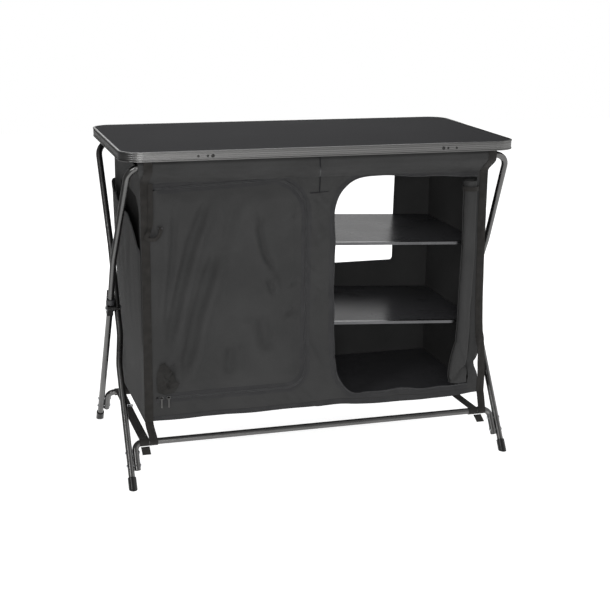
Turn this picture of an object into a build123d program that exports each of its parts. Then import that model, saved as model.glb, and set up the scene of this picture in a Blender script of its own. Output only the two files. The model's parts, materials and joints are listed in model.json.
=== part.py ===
from build123d import *
import os
from math import acos, atan2, cos, exp, hypot, radians, sin, tan

# A folding camping cupboard. +X runs along the front, +Y points to the rear,
# +Z points up. The origin is on the floor, midway between the four feet.

# Tabletop
table_width = 1000.0
table_depth = 500.0
table_height = 820.0
table_corner_radius = 50.0
table_setback = 15.0
board_thickness = 7.0
board_side_gap = 0.3

# Aluminium edging section
edging_height = 23.0
edging_wall = 1.3
edging_lip_width = 5.5
edging_lip_thickness = 1.0
edging_bead_height = 3.6
edging_bead_depth = 0.9
edging_groove_height = 1.8
edging_groove_depth = 0.6
edging_edge_break = 0.6
edging_foot_width = 1.2

# Tubes of the two scissor frames
tube_radius = 8.0
tube_wall = 1.2
bar_drop = 35.0
bar_inset = 36.0
pivot_share = 0.497
foot_spread = 8.0
top_bend_radius = 40.0
kink_radius = 400.0
crank_radius = 200.0
leg_inset = 18.0
leg_side_gap = 1.6
front_frame_top_narrowing = 2.0
rear_frame_top_widening = 8.0
rear_frame_foot_widening = 11.0
upper_crank = 165.0
lower_crank_start = 70.0
lower_crank_end = 150.0

# Feet
cap_radius = 10.5
cap_length = 30.0
cap_bore_gap = 0.15
cap_floor = 6.0
cap_rim_radius = 1.5

# Crossbars
crossbar_height = 95.0
crossbar_bend_radius = 18.0
crossbar_side_gap = 0.3
crossbar_leg_run = 68.0
crossbar_rivet_first = 24.0
crossbar_rivet_second = 56.0
rivet_radius = 2.5
rivet_hole_gap = 0.1
rivet_head_radius = 4.6
rivet_head_height = 2.6

# Leg pivots
pivot_pin_radius = 4.0
pivot_pin_gap = 0.06
pivot_head_radius = 7.0
pivot_head_height = 3.0
washer_radius = 9.0
washer_side_gap = 0.2
bracket_thickness = 1.5
bracket_below = 16.0
bracket_above = 15.0
bracket_tube_gap = 0.3
bracket_tail_length = 46.0
bracket_tail_width = 9.0
stop_pin_radius = 3.0
stop_gap = 0.3
collar_radius = 10.8
collar_side_gap = 0.2
collar_start = 17.0
collar_length = 16.0
collar_bore_gap = 0.15
collar_leg_gap = 0.6

# Hooks and saddles between the tabletop and the two top bars
fitting_half_spread = 308.0
fitting_offset = 7.0
fitting_width = 48.0
fitting_thickness = 2.0
bar_clearance = 0.3
hook_lip = 9.0
hook_flange_reach = 26.0
saddle_flange_reach = 15.0
pad_gap = 0.2
screw_radius = 2.0
screw_head_radius = 4.0
screw_head_height = 2.2
screw_depth = 7.0
screw_hole_gap = 0.05
screw_spread = 14.0
edge_rivet_radius = 1.6
edge_rivet_head_radius = 3.0
edge_rivet_head_height = 0.9
edge_screw_head_radius = 4.2
edge_screw_head_height = 1.8
edge_rivet_outer = 17.5
edge_rivet_inner = 5.0
edge_screw_offset = 17.0
edge_fastener_drop = 12.4

# Fabric cupboard
cupboard_side_inset = 52.5
cupboard_front_inset = 58.0
cupboard_lift = 46.0
fabric_thickness = 1.5
fabric_gap = 0.2
sleeve_gap = 0.3
sleeve_inset = 11.5
hem_drop = 3.5

# Door openings in the front face
opening_hinge_inset = 29.5
opening_centre_x = 36.0
opening_top_drop = 32.0
opening_top_dip = 17.0
left_opening_rise = 59.0
right_opening_rise = 27.0
opening_top_radius = 92.0
left_opening_bottom_radius = 48.0
right_opening_bottom_radius = 62.0
zip_half_width = 3.0
zip_thickness = 2.2
zip_gap = 0.2
tape_gap = 0.1
hinge_gap = 0.6

# Slack folds of the closed door: each valley runs between two shares of its width
fold_depth = 8.0
fold_half_width = 0.055
fold_valley_share = 0.8
fold_flat_share = 0.03
fold_rise_share = 0.22
long_fold_top = 0.40
long_fold_bottom = -0.02
second_fold_top = 0.58
second_fold_bottom = 0.10
upright_fold_top = 0.67
upright_fold_bottom = 0.73
edge_fold_top = 0.80
edge_fold_bottom = 0.95
door_sections = 9
door_section_points = 21

# Rolled right door
roll_radius = 19.0
roll_edge_gap = 2.4
roll_forward = 10.0
roll_hem_gap = 0.2
roll_hem_rise = 49.0
roll_top_drop = 56.0
roll_bottom_rise = 37.0
roll_bunch = 8.0
roll_tie_width = 12.0
roll_tie_thickness = 1.2
roll_tie_drop = 82.0
roll_tie_gap = 0.5
roll_lobe = 0.04
roll_points = 12
roll_flatness = 0.86

# Rear window openings
window_inner_x = 109.0
window_outer_inset = 108.5
window_bottom_share = 0.447
window_top_drop = 37.0
window_radius = 8.0

# Side pockets
pocket_top_drop = 82.0
pocket_mouth_slant = 105.0
pocket_mouth_bend = 60.0
pocket_bottom_share = 0.315
pocket_bulge = 19.0
pocket_bulge_bottom = 3.0
pocket_edge_inset = 6.0
pocket_wall = 1.2

# Shelves and floor boards
shelf_thickness = 5.0
floor_board_thickness = 5.0
shelf_side_gap = 0.5
shelf_front_gap = 6.0
upper_shelf_share = 0.68
upper_shelf_dip = 20.0
lower_shelf_share = 0.3535
lower_shelf_dip = 26.0
shelf_tape_width = 14.0
shelf_tape_thickness = 1.2
binding_wall = 1.0
binding_reach = 10.0
binding_gap = 0.1

# Webbing straps
webbing_width = 21.0
webbing_thickness = 1.5
webbing_edge_inset = 0.5
strap_wrap_gap = 0.3
strap_seam_share = 0.8
spreader_width = 24.0
spreader_thickness = 1.3
left_spreader_inset = 43.0
right_spreader_inset = 70.0
left_loop_inset = 73.0
right_loop_inset = 46.0
buckle_length = 18.0
buckle_wire = 2.0
buckle_place = 47.0

# Zip sliders with their pulls
slider_first_step = 13.0
slider_spacing = 18.0
slider_length = 10.0
slider_width = 8.5
slider_thickness = 1.8
slider_gap = 0.25
bridge_radius = 0.9
bridge_span = 4.6
bridge_post = 1.2
bridge_rise = 2.6
pull_eye_gap = 0.08
pull_eye_radius = 2.1
pull_width = 4.0
pull_length = 22.0
pull_thickness = 1.0
pull_tip_radius = 2.8

# Tie of the left door
tie_width = 7.0
tie_thickness = 1.5
tie_left_inset = 3.5
tie_right_step = 16.0
tie_drop = 168.0
tie_rise = 24.0
tie_bend = 9.0
toggle_radius = 3.2
toggle_length = 12.0

# Values that follow from the sizes above
table_front = table_setback - table_depth / 2
table_back = table_setback + table_depth / 2
edging_inner = edging_bead_depth + edging_groove_depth + edging_wall
board_top = table_height - edging_lip_thickness
board_bottom = board_top - board_thickness
edge_fastener_height = table_height - edge_fastener_drop
bar_height = table_height - bar_drop
bar_reach = table_depth / 2 - bar_inset
pivot_height = pivot_share * bar_height
foot_reach = table_depth / 2 + foot_spread
inner_leg_x = table_width / 2 - leg_inset
front_frame_top_x = inner_leg_x - front_frame_top_narrowing
rear_frame_top_x = inner_leg_x + rear_frame_top_widening
rear_frame_foot_x = inner_leg_x + rear_frame_foot_widening
upper_rise = bar_height - pivot_height
upper_angle = atan2(bar_reach, upper_rise)
upper_length = hypot(bar_reach, upper_rise)
lower_angle = atan2(foot_reach, pivot_height)
lower_length = hypot(foot_reach, pivot_height)
outer_leg_x = inner_leg_x + 2 * tube_radius + leg_side_gap
crossbar_place = (pivot_height - crossbar_height) / cos(lower_angle)
crossbar_reach = crossbar_place * sin(lower_angle)
fabric_front = table_front + cupboard_front_inset
fabric_back = bar_reach - tube_radius - sleeve_gap
fabric_inner_front = fabric_front + fabric_thickness
fabric_inner_back = fabric_back - fabric_thickness
fabric_top = bar_height - tube_radius - sleeve_gap - fabric_thickness - hem_drop
cupboard_half = table_width / 2 - cupboard_side_inset
cupboard_bottom = crossbar_height + cupboard_lift
cupboard_rise = fabric_top - cupboard_bottom
wall_inner_x = cupboard_half - fabric_thickness
opening_hinge_x = cupboard_half - opening_hinge_inset
opening_top = fabric_top - opening_top_drop
left_opening_bottom = cupboard_bottom + left_opening_rise
right_opening_bottom = cupboard_bottom + right_opening_rise
roll_top = fabric_top - roll_top_drop
roll_bottom = cupboard_bottom + roll_bottom_rise
roll_hem_bottom = cupboard_bottom + roll_hem_rise
roll_tie_height = fabric_top - roll_tie_drop
window_outer_x = cupboard_half - window_outer_inset
window_bottom = cupboard_bottom + window_bottom_share * cupboard_rise
window_top = fabric_top - window_top_drop
pocket_top = fabric_top - pocket_top_drop
pocket_mouth_front = pocket_top - pocket_mouth_slant
pocket_bottom = cupboard_bottom + pocket_bottom_share * cupboard_rise
upper_shelf_height = cupboard_bottom + upper_shelf_share * cupboard_rise
lower_shelf_height = cupboard_bottom + lower_shelf_share * cupboard_rise
left_spreader_edge = table_width / 2 - left_spreader_inset
right_spreader_edge = table_width / 2 - right_spreader_inset
left_loop_edge = table_width / 2 - left_loop_inset
right_loop_edge = table_width / 2 - right_loop_inset
slider_first_x = -(opening_hinge_x - slider_first_step)
tie_left_x = -(cupboard_half - tie_left_inset)
tie_right_x = -(opening_hinge_x - tie_right_step)
tie_bottom = fabric_top - tie_drop
floor_top = cupboard_bottom + fabric_thickness
floor_board_top = floor_top + fabric_gap + floor_board_thickness
bracket_half_width = collar_radius + collar_side_gap + bracket_thickness


def save(shape, name):
    """Write one named piece to its own file."""
    export_step(shape, "parts/" + name + ".step")


def block(x_range, y_range, z_range):
    """A box between two limits on each axis."""
    size = [high - low for low, high in (x_range, y_range, z_range)]
    middle = [(high + low) / 2 for low, high in (x_range, y_range, z_range)]
    return Pos(*middle) * Box(*size)


def both_sides(shape):
    """The piece and its mirror image across the middle of the cupboard."""
    return Compound(children=[shape, mirror(shape, about=Plane.YZ)])


def side_copy(shape, side):
    """The piece as modelled on the right (side 1), or mirrored to the left (side -1)."""
    return shape if side > 0 else mirror(shape, about=Plane.YZ)


def bent_wire(points, radii):
    """A wire through the points, each inner corner rounded to its own radius."""
    corners = [Vector(*point) for point in points]
    edges = []
    start = corners[0]
    for before, corner, after, radius in zip(corners, corners[1:], corners[2:], radii):
        arrive = (corner - before).normalized()
        leave = (after - corner).normalized()
        half_turn = radians(arrive.get_angle(leave)) / 2
        setback = radius * tan(half_turn)
        enter = corner - arrive * setback
        depart = corner + leave * setback
        inward = (leave - arrive).normalized()
        middle = corner + inward * (radius / cos(half_turn) - radius)
        edges.append(Edge.make_line(start, enter))
        edges.append(Edge.make_three_point_arc(enter, middle, depart))
        start = depart
    edges.append(Edge.make_line(start, corners[-1]))
    return Wire(edges)


def tube_along(path, radius, wall):
    """A round tube swept along a wire."""
    section = Circle(radius) - Circle(radius - wall)
    return sweep(Plane(origin=path @ 0, z_dir=path % 0) * section, path=path)


def cross_pin(x_from, x_to, y, z, radius):
    """A plain cylinder that lies along X."""
    length = abs(x_to - x_from)
    return Pos((x_from + x_to) / 2, y, z) * Rot(0, 90, 0) * Cylinder(radius, length)


def domed_head(radius, height):
    """A domed fastener head that stands on the XY plane."""
    sphere_radius = (radius**2 + height**2) / (2 * height)
    ball = Pos(0, 0, height - sphere_radius) * Sphere(sphere_radius)
    reach = 2 * sphere_radius
    return ball & block((-reach, reach), (-reach, reach), (0, reach))


def headed_pin(start, direction, length, radius, head_radius, head_height, two_heads=False):
    """A pin from start along direction, with a domed head at its start and, if asked, its end."""
    place = Plane(origin=start, z_dir=direction)
    shank = Pos(0, 0, length / 2) * Cylinder(radius, length)
    head = Rot(180, 0, 0) * domed_head(head_radius, head_height)
    pin = shank + head
    if two_heads:
        pin = pin + Pos(0, 0, length) * domed_head(head_radius, head_height)
    return place.location * pin


def yz_plate(sketch, x_from, x_to):
    """A plate whose outline is drawn with Y across and Z up, between two X places."""
    return extrude(Plane.YZ.offset(x_from) * sketch, amount=x_to - x_from, dir=(1, 0, 0))


def yz_box(y_range, z_range):
    """A rectangle for yz_plate, between two limits each way."""
    width = y_range[1] - y_range[0]
    height = z_range[1] - z_range[0]
    return Pos((y_range[0] + y_range[1]) / 2, (z_range[0] + z_range[1]) / 2) * Rectangle(width, height)


def bar_circle(y, z, radius):
    """A circle for yz_plate, centred on a bar."""
    return Pos(y, z) * Circle(radius)


def edging_path():
    """The outer top edge of the tabletop, from the middle of its front."""
    half = table_width / 2
    points = [
        (0, table_front, table_height),
        (-half, table_front, table_height),
        (-half, table_back, table_height),
        (half, table_back, table_height),
        (half, table_front, table_height),
        (0, table_front, table_height),
    ]
    return bent_wire(points, [table_corner_radius] * 4)


def edging_section():
    """The extrusion's section: beads at top and bottom, grooves beside them, a web and a top lip."""
    groove_in = edging_bead_depth + edging_groove_depth
    groove_top = edging_bead_height
    groove_bottom = edging_bead_height + edging_groove_height
    points = [
        (-edging_lip_width, 0),
        (-edging_edge_break, 0),
        (0, -edging_edge_break),
        (0, -edging_bead_height + edging_edge_break),
        (-groove_in, -groove_top),
        (-groove_in, -groove_bottom),
        (-edging_bead_depth, -groove_bottom),
        (-edging_bead_depth, -edging_height + groove_bottom),
        (-groove_in, -edging_height + groove_bottom),
        (-groove_in, -edging_height + groove_top),
        (0, -edging_height + edging_bead_height - edging_edge_break),
        (0, -edging_height + edging_edge_break),
        (-edging_edge_break, -edging_height),
        (-edging_inner - edging_foot_width, -edging_height),
        (-edging_inner - edging_foot_width, -edging_height + edging_lip_thickness),
        (-edging_inner, -edging_height + edging_lip_thickness),
        (-edging_inner, -edging_lip_thickness),
        (-edging_lip_width, -edging_lip_thickness),
    ]
    return make_face(Polyline(*points, close=True))


def fitting_centres():
    """Where the hooks and saddles sit along X, left one first."""
    return [-fitting_half_spread + fitting_offset, fitting_half_spread + fitting_offset]


def edge_fastener_places():
    """X places of the small rivets and of the larger screws in the front edging."""
    rivets = []
    screws = []
    for centre, side in zip(fitting_centres(), (1, -1)):
        rivets.append(centre - side * edge_rivet_outer)
        rivets.append(centre + side * edge_rivet_inner)
        screws.append(centre + side * edge_screw_offset)
    return rivets, screws


def flange_screw_places():
    """X and Y of each screw that holds a hook or saddle to the board."""
    hook_y = -bar_reach + hook_flange_reach - screw_head_radius - 1
    saddle_y = tube_radius + bar_clearance + fitting_thickness + saddle_flange_reach / 2
    places = []
    for centre in fitting_centres():
        for step in (-screw_spread, screw_spread):
            places.append((centre + step, hook_y))
            places.append((centre + step, bar_reach - saddle_y))
            places.append((centre + step, bar_reach + saddle_y))
    return places


def table_pieces():
    """The board and its bent edging, drilled for the fittings."""
    edging = sweep(
        Plane(origin=(0, table_front, table_height), x_dir=(0, -1, 0), z_dir=(-1, 0, 0)) * edging_section(),
        path=edging_path(),
    )
    rivets, screws = edge_fastener_places()
    for x in rivets:
        edging -= front_drill(x, edge_rivet_radius + screw_hole_gap)
    for x in screws:
        edging -= front_drill(x, screw_radius + screw_hole_gap)
    inset = 2 * (edging_inner + board_side_gap)
    outline = RectangleRounded(
        table_width - inset, table_depth - inset, table_corner_radius - edging_inner - board_side_gap
    )
    board = extrude(Pos(0, table_setback, board_bottom) * outline, amount=board_thickness)
    for x, y in flange_screw_places():
        hole = Cylinder(screw_radius + screw_hole_gap, 2 * screw_depth + 1)
        board -= Pos(x, y, board_bottom) * hole
    save(board, "table_board")
    save(edging, "table_edging")


def front_drill(x, radius):
    """A hole through the front of the edging."""
    return Pos(x, table_front, edge_fastener_height) * Rot(90, 0, 0) * Cylinder(radius, 4 * edging_inner)


def hook_outline():
    """Side view of a hook: a flange under the board, a tab behind the edging and an open J."""
    bar_y = -bar_reach
    inner = tube_radius + bar_clearance
    outer = inner + fitting_thickness
    flange_bottom = board_bottom - fitting_thickness
    tab_front = table_front + edging_inner
    flange = yz_box((tab_front, bar_y + hook_flange_reach), (flange_bottom, board_bottom))
    tab = yz_box(
        (tab_front, tab_front + fitting_thickness),
        (table_height - edging_height + 2 * edging_lip_thickness, board_bottom),
    )
    shank = yz_box((bar_y - outer, bar_y - inner), (bar_height, flange_bottom))
    ring = bar_circle(bar_y, bar_height, outer) - bar_circle(bar_y, bar_height, inner)
    curl = ring & yz_box((bar_y - 2 * outer, bar_y), (bar_height - 2 * outer, bar_height))
    lip = yz_box((bar_y, bar_y + hook_lip), (bar_height - outer, bar_height - inner))
    return flange + tab + shank + curl + lip


def hook_pad_outline():
    """Side view of the block that carries the board on the front bar."""
    bar_y = -bar_reach
    inner = tube_radius + bar_clearance
    front = yz_box(
        (bar_y - inner + pad_gap, bar_y),
        (bar_height, board_bottom - fitting_thickness - pad_gap),
    )
    rear = yz_box(
        (bar_y, bar_y + inner + hook_lip),
        (bar_height + inner, board_bottom - fitting_thickness - pad_gap),
    )
    return front + rear - bar_circle(bar_y, bar_height, inner)


def saddle_outline():
    """Side view of a saddle: a strap under the rear bar with a flange on each side."""
    inner = tube_radius + bar_clearance
    outer = inner + fitting_thickness
    flange_bottom = board_bottom - fitting_thickness
    flange = yz_box(
        (bar_reach - outer - saddle_flange_reach, bar_reach + outer + saddle_flange_reach),
        (flange_bottom, board_bottom),
    )
    legs = yz_box((bar_reach - outer, bar_reach + outer), (bar_height, board_bottom))
    bowl = bar_circle(bar_reach, bar_height, outer)
    hollow = yz_box((bar_reach - inner, bar_reach + inner), (bar_height, board_bottom))
    return flange + legs + bowl - hollow - bar_circle(bar_reach, bar_height, inner)


def saddle_pad_outline():
    """Side view of the block that carries the board on the rear bar."""
    inner = tube_radius + bar_clearance
    body = yz_box(
        (bar_reach - inner + pad_gap, bar_reach + inner - pad_gap),
        (bar_height, board_bottom - pad_gap),
    )
    return body - bar_circle(bar_reach, bar_height, inner)


def fitting_pieces():
    """Hooks, saddles, their bearing blocks and their fasteners."""
    half = fitting_width / 2
    rivets, screws = edge_fastener_places()
    hook_blocks = []
    saddle_blocks = []
    for centre, side_name in zip(fitting_centres(), ("left", "right")):
        hook = yz_plate(hook_outline(), centre - half, centre + half)
        for x in rivets:
            hook -= front_drill(x, edge_rivet_radius + screw_hole_gap)
        for x in screws:
            hook -= front_drill(x, screw_radius + screw_hole_gap)
        saddle = yz_plate(saddle_outline(), centre - half, centre + half)
        for x, y in flange_screw_places():
            hole = Pos(x, y, board_bottom) * Cylinder(screw_radius + screw_hole_gap, 4 * fitting_thickness)
            hook -= hole
            saddle -= hole
        hook_pad = yz_plate(hook_pad_outline(), centre - half + 2, centre + half - 2)
        for x, y in flange_screw_places():
            hook_pad -= Pos(x, y, board_bottom - fitting_thickness) * Cylinder(
                screw_head_radius + pad_gap, 2 * screw_head_height + 2 * pad_gap
            )
        saddle_pad = yz_plate(saddle_pad_outline(), centre - half + 2, centre + half - 2)
        save(hook, "front_hook_" + side_name)
        save(saddle, "rear_saddle_" + side_name)
        hook_blocks.append(hook_pad)
        saddle_blocks.append(saddle_pad)
    save(Compound(children=hook_blocks), "front_bearing_blocks")
    save(Compound(children=saddle_blocks), "rear_bearing_blocks")
    web_face = table_front + edging_bead_depth
    reach = edging_groove_depth + edging_wall + fitting_thickness + 1
    edge_rivets = [
        headed_pin(
            (x, web_face, edge_fastener_height),
            (0, 1, 0),
            reach,
            edge_rivet_radius,
            edge_rivet_head_radius,
            edge_rivet_head_height,
        )
        for x in rivets
    ]
    save(Compound(children=edge_rivets), "edging_rivets")
    edge_screws = [
        headed_pin(
            (x, web_face, edge_fastener_height),
            (0, 1, 0),
            reach,
            screw_radius,
            edge_screw_head_radius,
            edge_screw_head_height,
        )
        for x in screws
    ]
    save(Compound(children=edge_screws), "edging_screws")
    flange_screws = [
        headed_pin(
            (x, y, board_bottom - fitting_thickness),
            (0, 0, 1),
            screw_depth,
            screw_radius,
            screw_head_radius,
            screw_head_height,
        )
        for x, y in flange_screw_places()
    ]
    save(Compound(children=flange_screws), "fitting_screws")


def leg_point(x, along, facing):
    """A point on a leg: along is measured from the pivot, up if positive, down if negative.

    facing is 1 for the frame whose upper half leans to the front, -1 for the other."""
    if along >= 0:
        return (x, -facing * along * sin(upper_angle), pivot_height + along * cos(upper_angle))
    return (x, -facing * along * sin(lower_angle), pivot_height + along * cos(lower_angle))


def frame_path(stations, radii, facing):
    """The centre line of a frame, from its left foot over the top bar to its right foot."""
    left = [leg_point(-x, along, facing) for x, along in stations]
    right = [leg_point(x, along, facing) for x, along in reversed(stations)]
    inner_radii = radii + list(reversed(radii))
    return bent_wire(left + right, inner_radii)


def foot_end():
    """How far below the pivot a leg tube ends, inside its foot cap."""
    return lower_length - (cap_floor + tube_radius * sin(lower_angle)) / cos(lower_angle)


def front_frame_tube():
    """The frame whose top bar carries the front of the tabletop: its legs run outside."""
    stations = [
        (outer_leg_x, -foot_end()),
        (outer_leg_x, 0),
        (outer_leg_x, upper_crank),
        (front_frame_top_x, upper_length),
    ]
    path = frame_path(stations, [kink_radius, crank_radius, top_bend_radius], 1)
    return tube_along(path, tube_radius, tube_wall)


def rear_frame_tube():
    """The frame whose top bar turns in the rear saddles: its legs run inside at the pivots."""
    stations = [
        (rear_frame_foot_x, -foot_end()),
        (rear_frame_foot_x, -lower_crank_end),
        (inner_leg_x, -lower_crank_start),
        (inner_leg_x, 0),
        (inner_leg_x, upper_crank),
        (rear_frame_top_x, upper_length),
    ]
    radii = [crank_radius, crank_radius, kink_radius, crank_radius, top_bend_radius]
    return tube_along(frame_path(stations, radii, -1), tube_radius, tube_wall)


def crossbar_leg_x(facing):
    """Distance of the leg from the middle where a crossbar meets it."""
    return outer_leg_x if facing > 0 else rear_frame_foot_x


def crossbar_tube(facing):
    """A bar between two legs, with its ends turned down along them."""
    end_x = crossbar_leg_x(facing) - 2 * tube_radius - crossbar_side_gap
    low = -(crossbar_place + crossbar_leg_run)
    points = [
        leg_point(-end_x, low, facing),
        leg_point(-end_x, -crossbar_place, facing),
        leg_point(end_x, -crossbar_place, facing),
        leg_point(end_x, low, facing),
    ]
    path = bent_wire(points, [crossbar_bend_radius] * 2)
    return tube_along(path, tube_radius, tube_wall)


def crossbar_rivet_points(facing):
    """Where the rivets pass, as Y and Z."""
    points = []
    for step in (crossbar_rivet_first, crossbar_rivet_second):
        _, y, z = leg_point(0, -(crossbar_place + step), facing)
        points.append((y, z))
    return points


def crossbar_rivets(facing):
    """Four rivets that hold the crossbar's turned ends to the legs."""
    outer_x = crossbar_leg_x(facing) + tube_radius
    length = 4 * tube_radius + crossbar_side_gap
    rivets = []
    for y, z in crossbar_rivet_points(facing):
        for side in (-1, 1):
            rivets.append(
                headed_pin(
                    (side * outer_x, y, z),
                    (-side, 0, 0),
                    length,
                    rivet_radius,
                    rivet_head_radius,
                    rivet_head_height,
                    two_heads=True,
                )
            )
    return Compound(children=rivets)


def drill_rivet_holes(shape, facing):
    """Cut the rivet holes of a crossbar's ends through a tube."""
    reach = crossbar_leg_x(facing) + 2 * tube_radius
    for y, z in crossbar_rivet_points(facing):
        for side in (-1, 1):
            shape -= cross_pin(side * (reach - 6 * tube_radius), side * reach, y, z, rivet_radius + rivet_hole_gap)
    return shape


def drill_pivot_holes(shape):
    """Cut both pivot holes through a frame."""
    low = inner_leg_x - 2 * tube_radius
    high = outer_leg_x + 2 * tube_radius
    for side in (-1, 1):
        shape -= cross_pin(side * low, side * high, 0, pivot_height, pivot_pin_radius + pivot_pin_gap)
    return shape


def foot_cap(x, facing):
    """A rubber cap on a leg's lower end, cut level with the floor."""
    _, foot_y, _ = leg_point(0, -lower_length, facing)
    _, top_y, top_z = leg_point(0, -lower_length + cap_length, facing)
    foot = Vector(x, foot_y, 0)
    top = Vector(x, top_y, top_z)
    axis = (top - foot).normalized()
    place = Plane(origin=foot - axis * cap_length / 2, z_dir=axis)
    length = 1.5 * cap_length
    outer = Pos(0, 0, length / 2) * Cylinder(cap_radius, length)
    outer = fillet(outer.edges().sort_by(Axis.Z)[-1], cap_rim_radius)
    bore_start = cap_length / 2 + lower_length - foot_end() - cap_bore_gap
    bore = Pos(0, 0, bore_start + length / 2) * Cylinder(tube_radius + cap_bore_gap, length)
    floor_side = block((x - 60, x + 60), (foot_y - 60, foot_y + 60), (-60, 0))
    return place.location * (outer - bore) - floor_side


def pivot_hardware():
    """Pin and washer of the right leg crossing."""
    outer_face = outer_leg_x + tube_radius
    inner_face = inner_leg_x - tube_radius
    plate_face = outer_face + bracket_tube_gap + bracket_thickness
    pin = headed_pin(
        (plate_face, 0, pivot_height),
        (-1, 0, 0),
        plate_face - inner_face,
        pivot_pin_radius,
        pivot_head_radius,
        pivot_head_height,
        two_heads=True,
    )
    washer_low = inner_leg_x + tube_radius + washer_side_gap
    washer_high = outer_leg_x - tube_radius - washer_side_gap
    washer = cross_pin(washer_low, washer_high, 0, pivot_height, washer_radius)
    washer -= cross_pin(washer_low - 1, washer_high + 1, 0, pivot_height, pivot_pin_radius + pivot_pin_gap)
    return pin, washer


def pivot_bracket():
    """A pressed channel over the outer leg, with a hooked tail and a stop pin."""
    upper = Plane(
        origin=(outer_leg_x, 0, pivot_height),
        x_dir=(1, 0, 0),
        z_dir=(0, -sin(upper_angle), cos(upper_angle)),
    )
    inner = tube_radius + bracket_tube_gap
    outer = inner + bracket_thickness
    flange_edge = -tube_radius + washer_side_gap + 1
    shell = block((flange_edge, outer), (-bracket_half_width, bracket_half_width), (-bracket_below, bracket_above))
    hollow = block(
        (flange_edge - 1, inner),
        (-bracket_half_width + bracket_thickness, bracket_half_width - bracket_thickness),
        (-bracket_below - 1, bracket_above + 1),
    )
    channel = fillet((shell - hollow).edges().filter_by(Axis.Z).group_by(Axis.X)[-1], bracket_thickness)
    tail_low = (0, bracket_half_width - bracket_thickness, bracket_above)
    tail = block(
        (0, bracket_tail_width),
        (tail_low[1], bracket_half_width),
        (bracket_above - 1, bracket_tail_length),
    )
    tip = Pos(bracket_tail_width / 2, bracket_half_width + bracket_thickness, bracket_tail_length) * (
        Rot(0, 90, 0) * (Cylinder(2 * bracket_thickness, bracket_tail_width) - Cylinder(bracket_thickness, bracket_tail_width))
    )
    tip -= Pos(bracket_tail_width / 2, bracket_half_width + bracket_thickness, bracket_tail_length) * Pos(
        0, 0, -2 * bracket_thickness
    ) * Box(2 * bracket_tail_width, 8 * bracket_thickness, 4 * bracket_thickness)
    bracket = upper.location * (channel + tail + tip)
    half_wedge = (radians(180) - upper_angle - lower_angle) / 2
    reach = (tube_radius + stop_pin_radius + stop_gap) / sin(half_wedge)
    tilt = (lower_angle - upper_angle) / 2
    pin_y = -reach * cos(tilt)
    pin_z = pivot_height + reach * sin(tilt)
    pin_inner = inner_leg_x - tube_radius
    pin_outer = outer_leg_x + outer
    bracket += cross_pin(pin_inner, pin_outer, pin_y, pin_z, stop_pin_radius)
    bracket -= cross_pin(
        outer_leg_x,
        outer_leg_x + 2 * outer,
        0,
        pivot_height,
        pivot_pin_radius + pivot_pin_gap,
    )
    return bracket


def pivot_collar():
    """A moulded collar round the outer leg just above the bracket, flat beside the inner leg."""
    upper = Plane(
        origin=(outer_leg_x, 0, pivot_height),
        x_dir=(1, 0, 0),
        z_dir=(0, -sin(upper_angle), cos(upper_angle)),
    )
    body = Cylinder(collar_radius, collar_length)
    body = fillet(body.edges().sort_by(Axis.Z)[-1], cap_rim_radius)
    bore = Cylinder(tube_radius + collar_bore_gap, 2 * collar_length)
    flat_x = -tube_radius - leg_side_gap + collar_leg_gap
    flat = block((flat_x - 20, flat_x), (-20, 20), (-20, 20))
    return upper.location * Pos(0, 0, collar_start + collar_length / 2) * (body - bore - flat)


def frame_pieces():
    """Both scissor frames with their crossbars, rivets, caps and pivots."""
    save(drill_pivot_holes(drill_rivet_holes(front_frame_tube(), 1)), "front_bar_frame_tube")
    save(drill_pivot_holes(drill_rivet_holes(rear_frame_tube(), -1)), "rear_bar_frame_tube")
    save(drill_rivet_holes(crossbar_tube(1), 1), "rear_crossbar")
    save(drill_rivet_holes(crossbar_tube(-1), -1), "front_crossbar")
    save(crossbar_rivets(1), "rear_crossbar_rivets")
    save(crossbar_rivets(-1), "front_crossbar_rivets")
    save(both_sides(foot_cap(outer_leg_x, 1)), "rear_foot_caps")
    save(both_sides(foot_cap(rear_frame_foot_x, -1)), "front_foot_caps")
    pin, washer = pivot_hardware()
    save(both_sides(pin), "pivot_pins")
    save(both_sides(washer), "pivot_washers")
    save(both_sides(pivot_collar()), "pivot_collars")
    save(pivot_bracket(), "pivot_bracket_right")
    save(side_copy(pivot_bracket(), -1), "pivot_bracket_left")


def opening_outline(side, bottom, bottom_radius, grow):
    """The outline of a door opening, drawn with X across and Z up; grow moves its zip edge out."""
    hinge = side * opening_hinge_x
    centre = side * (opening_centre_x - grow)
    points = [
        (hinge, bottom - grow, 0),
        (hinge, opening_top - opening_top_dip + grow, 0),
        (centre, opening_top + grow, 0),
        (centre, bottom - grow, 0),
        (hinge, bottom - grow, 0),
    ]
    wire = bent_wire(points, [0.01, opening_top_radius + grow, bottom_radius + grow])
    return Face(wire)


def xz_plate(sketch, y_front, y_back):
    """A plate whose outline is drawn with X across and Z up, between two Y places."""
    face = Plane(origin=(0, y_back, 0), x_dir=(1, 0, 0), z_dir=(0, -1, 0)) * sketch
    return extrude(face, amount=y_back - y_front, dir=(0, -1, 0))


def zip_band(side, bottom, bottom_radius, outer, inner):
    """One half of a zip that follows an opening's edge."""
    ring = opening_outline(side, bottom, bottom_radius, outer) - opening_outline(side, bottom, bottom_radius, inner)
    middle = (fabric_front + fabric_inner_front) / 2
    return xz_plate(ring, middle - zip_thickness / 2, middle + zip_thickness / 2)


def front_panel():
    """The front face with its two door openings."""
    face = Pos(0, (cupboard_bottom + fabric_top) / 2) * Rectangle(2 * cupboard_half, fabric_top - cupboard_bottom)
    edge = zip_half_width + tape_gap + zip_gap
    face -= opening_outline(-1, left_opening_bottom, left_opening_bottom_radius, edge)
    face -= opening_outline(1, right_opening_bottom, right_opening_bottom_radius, edge)
    return xz_plate(face, fabric_front, fabric_inner_front)


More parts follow.
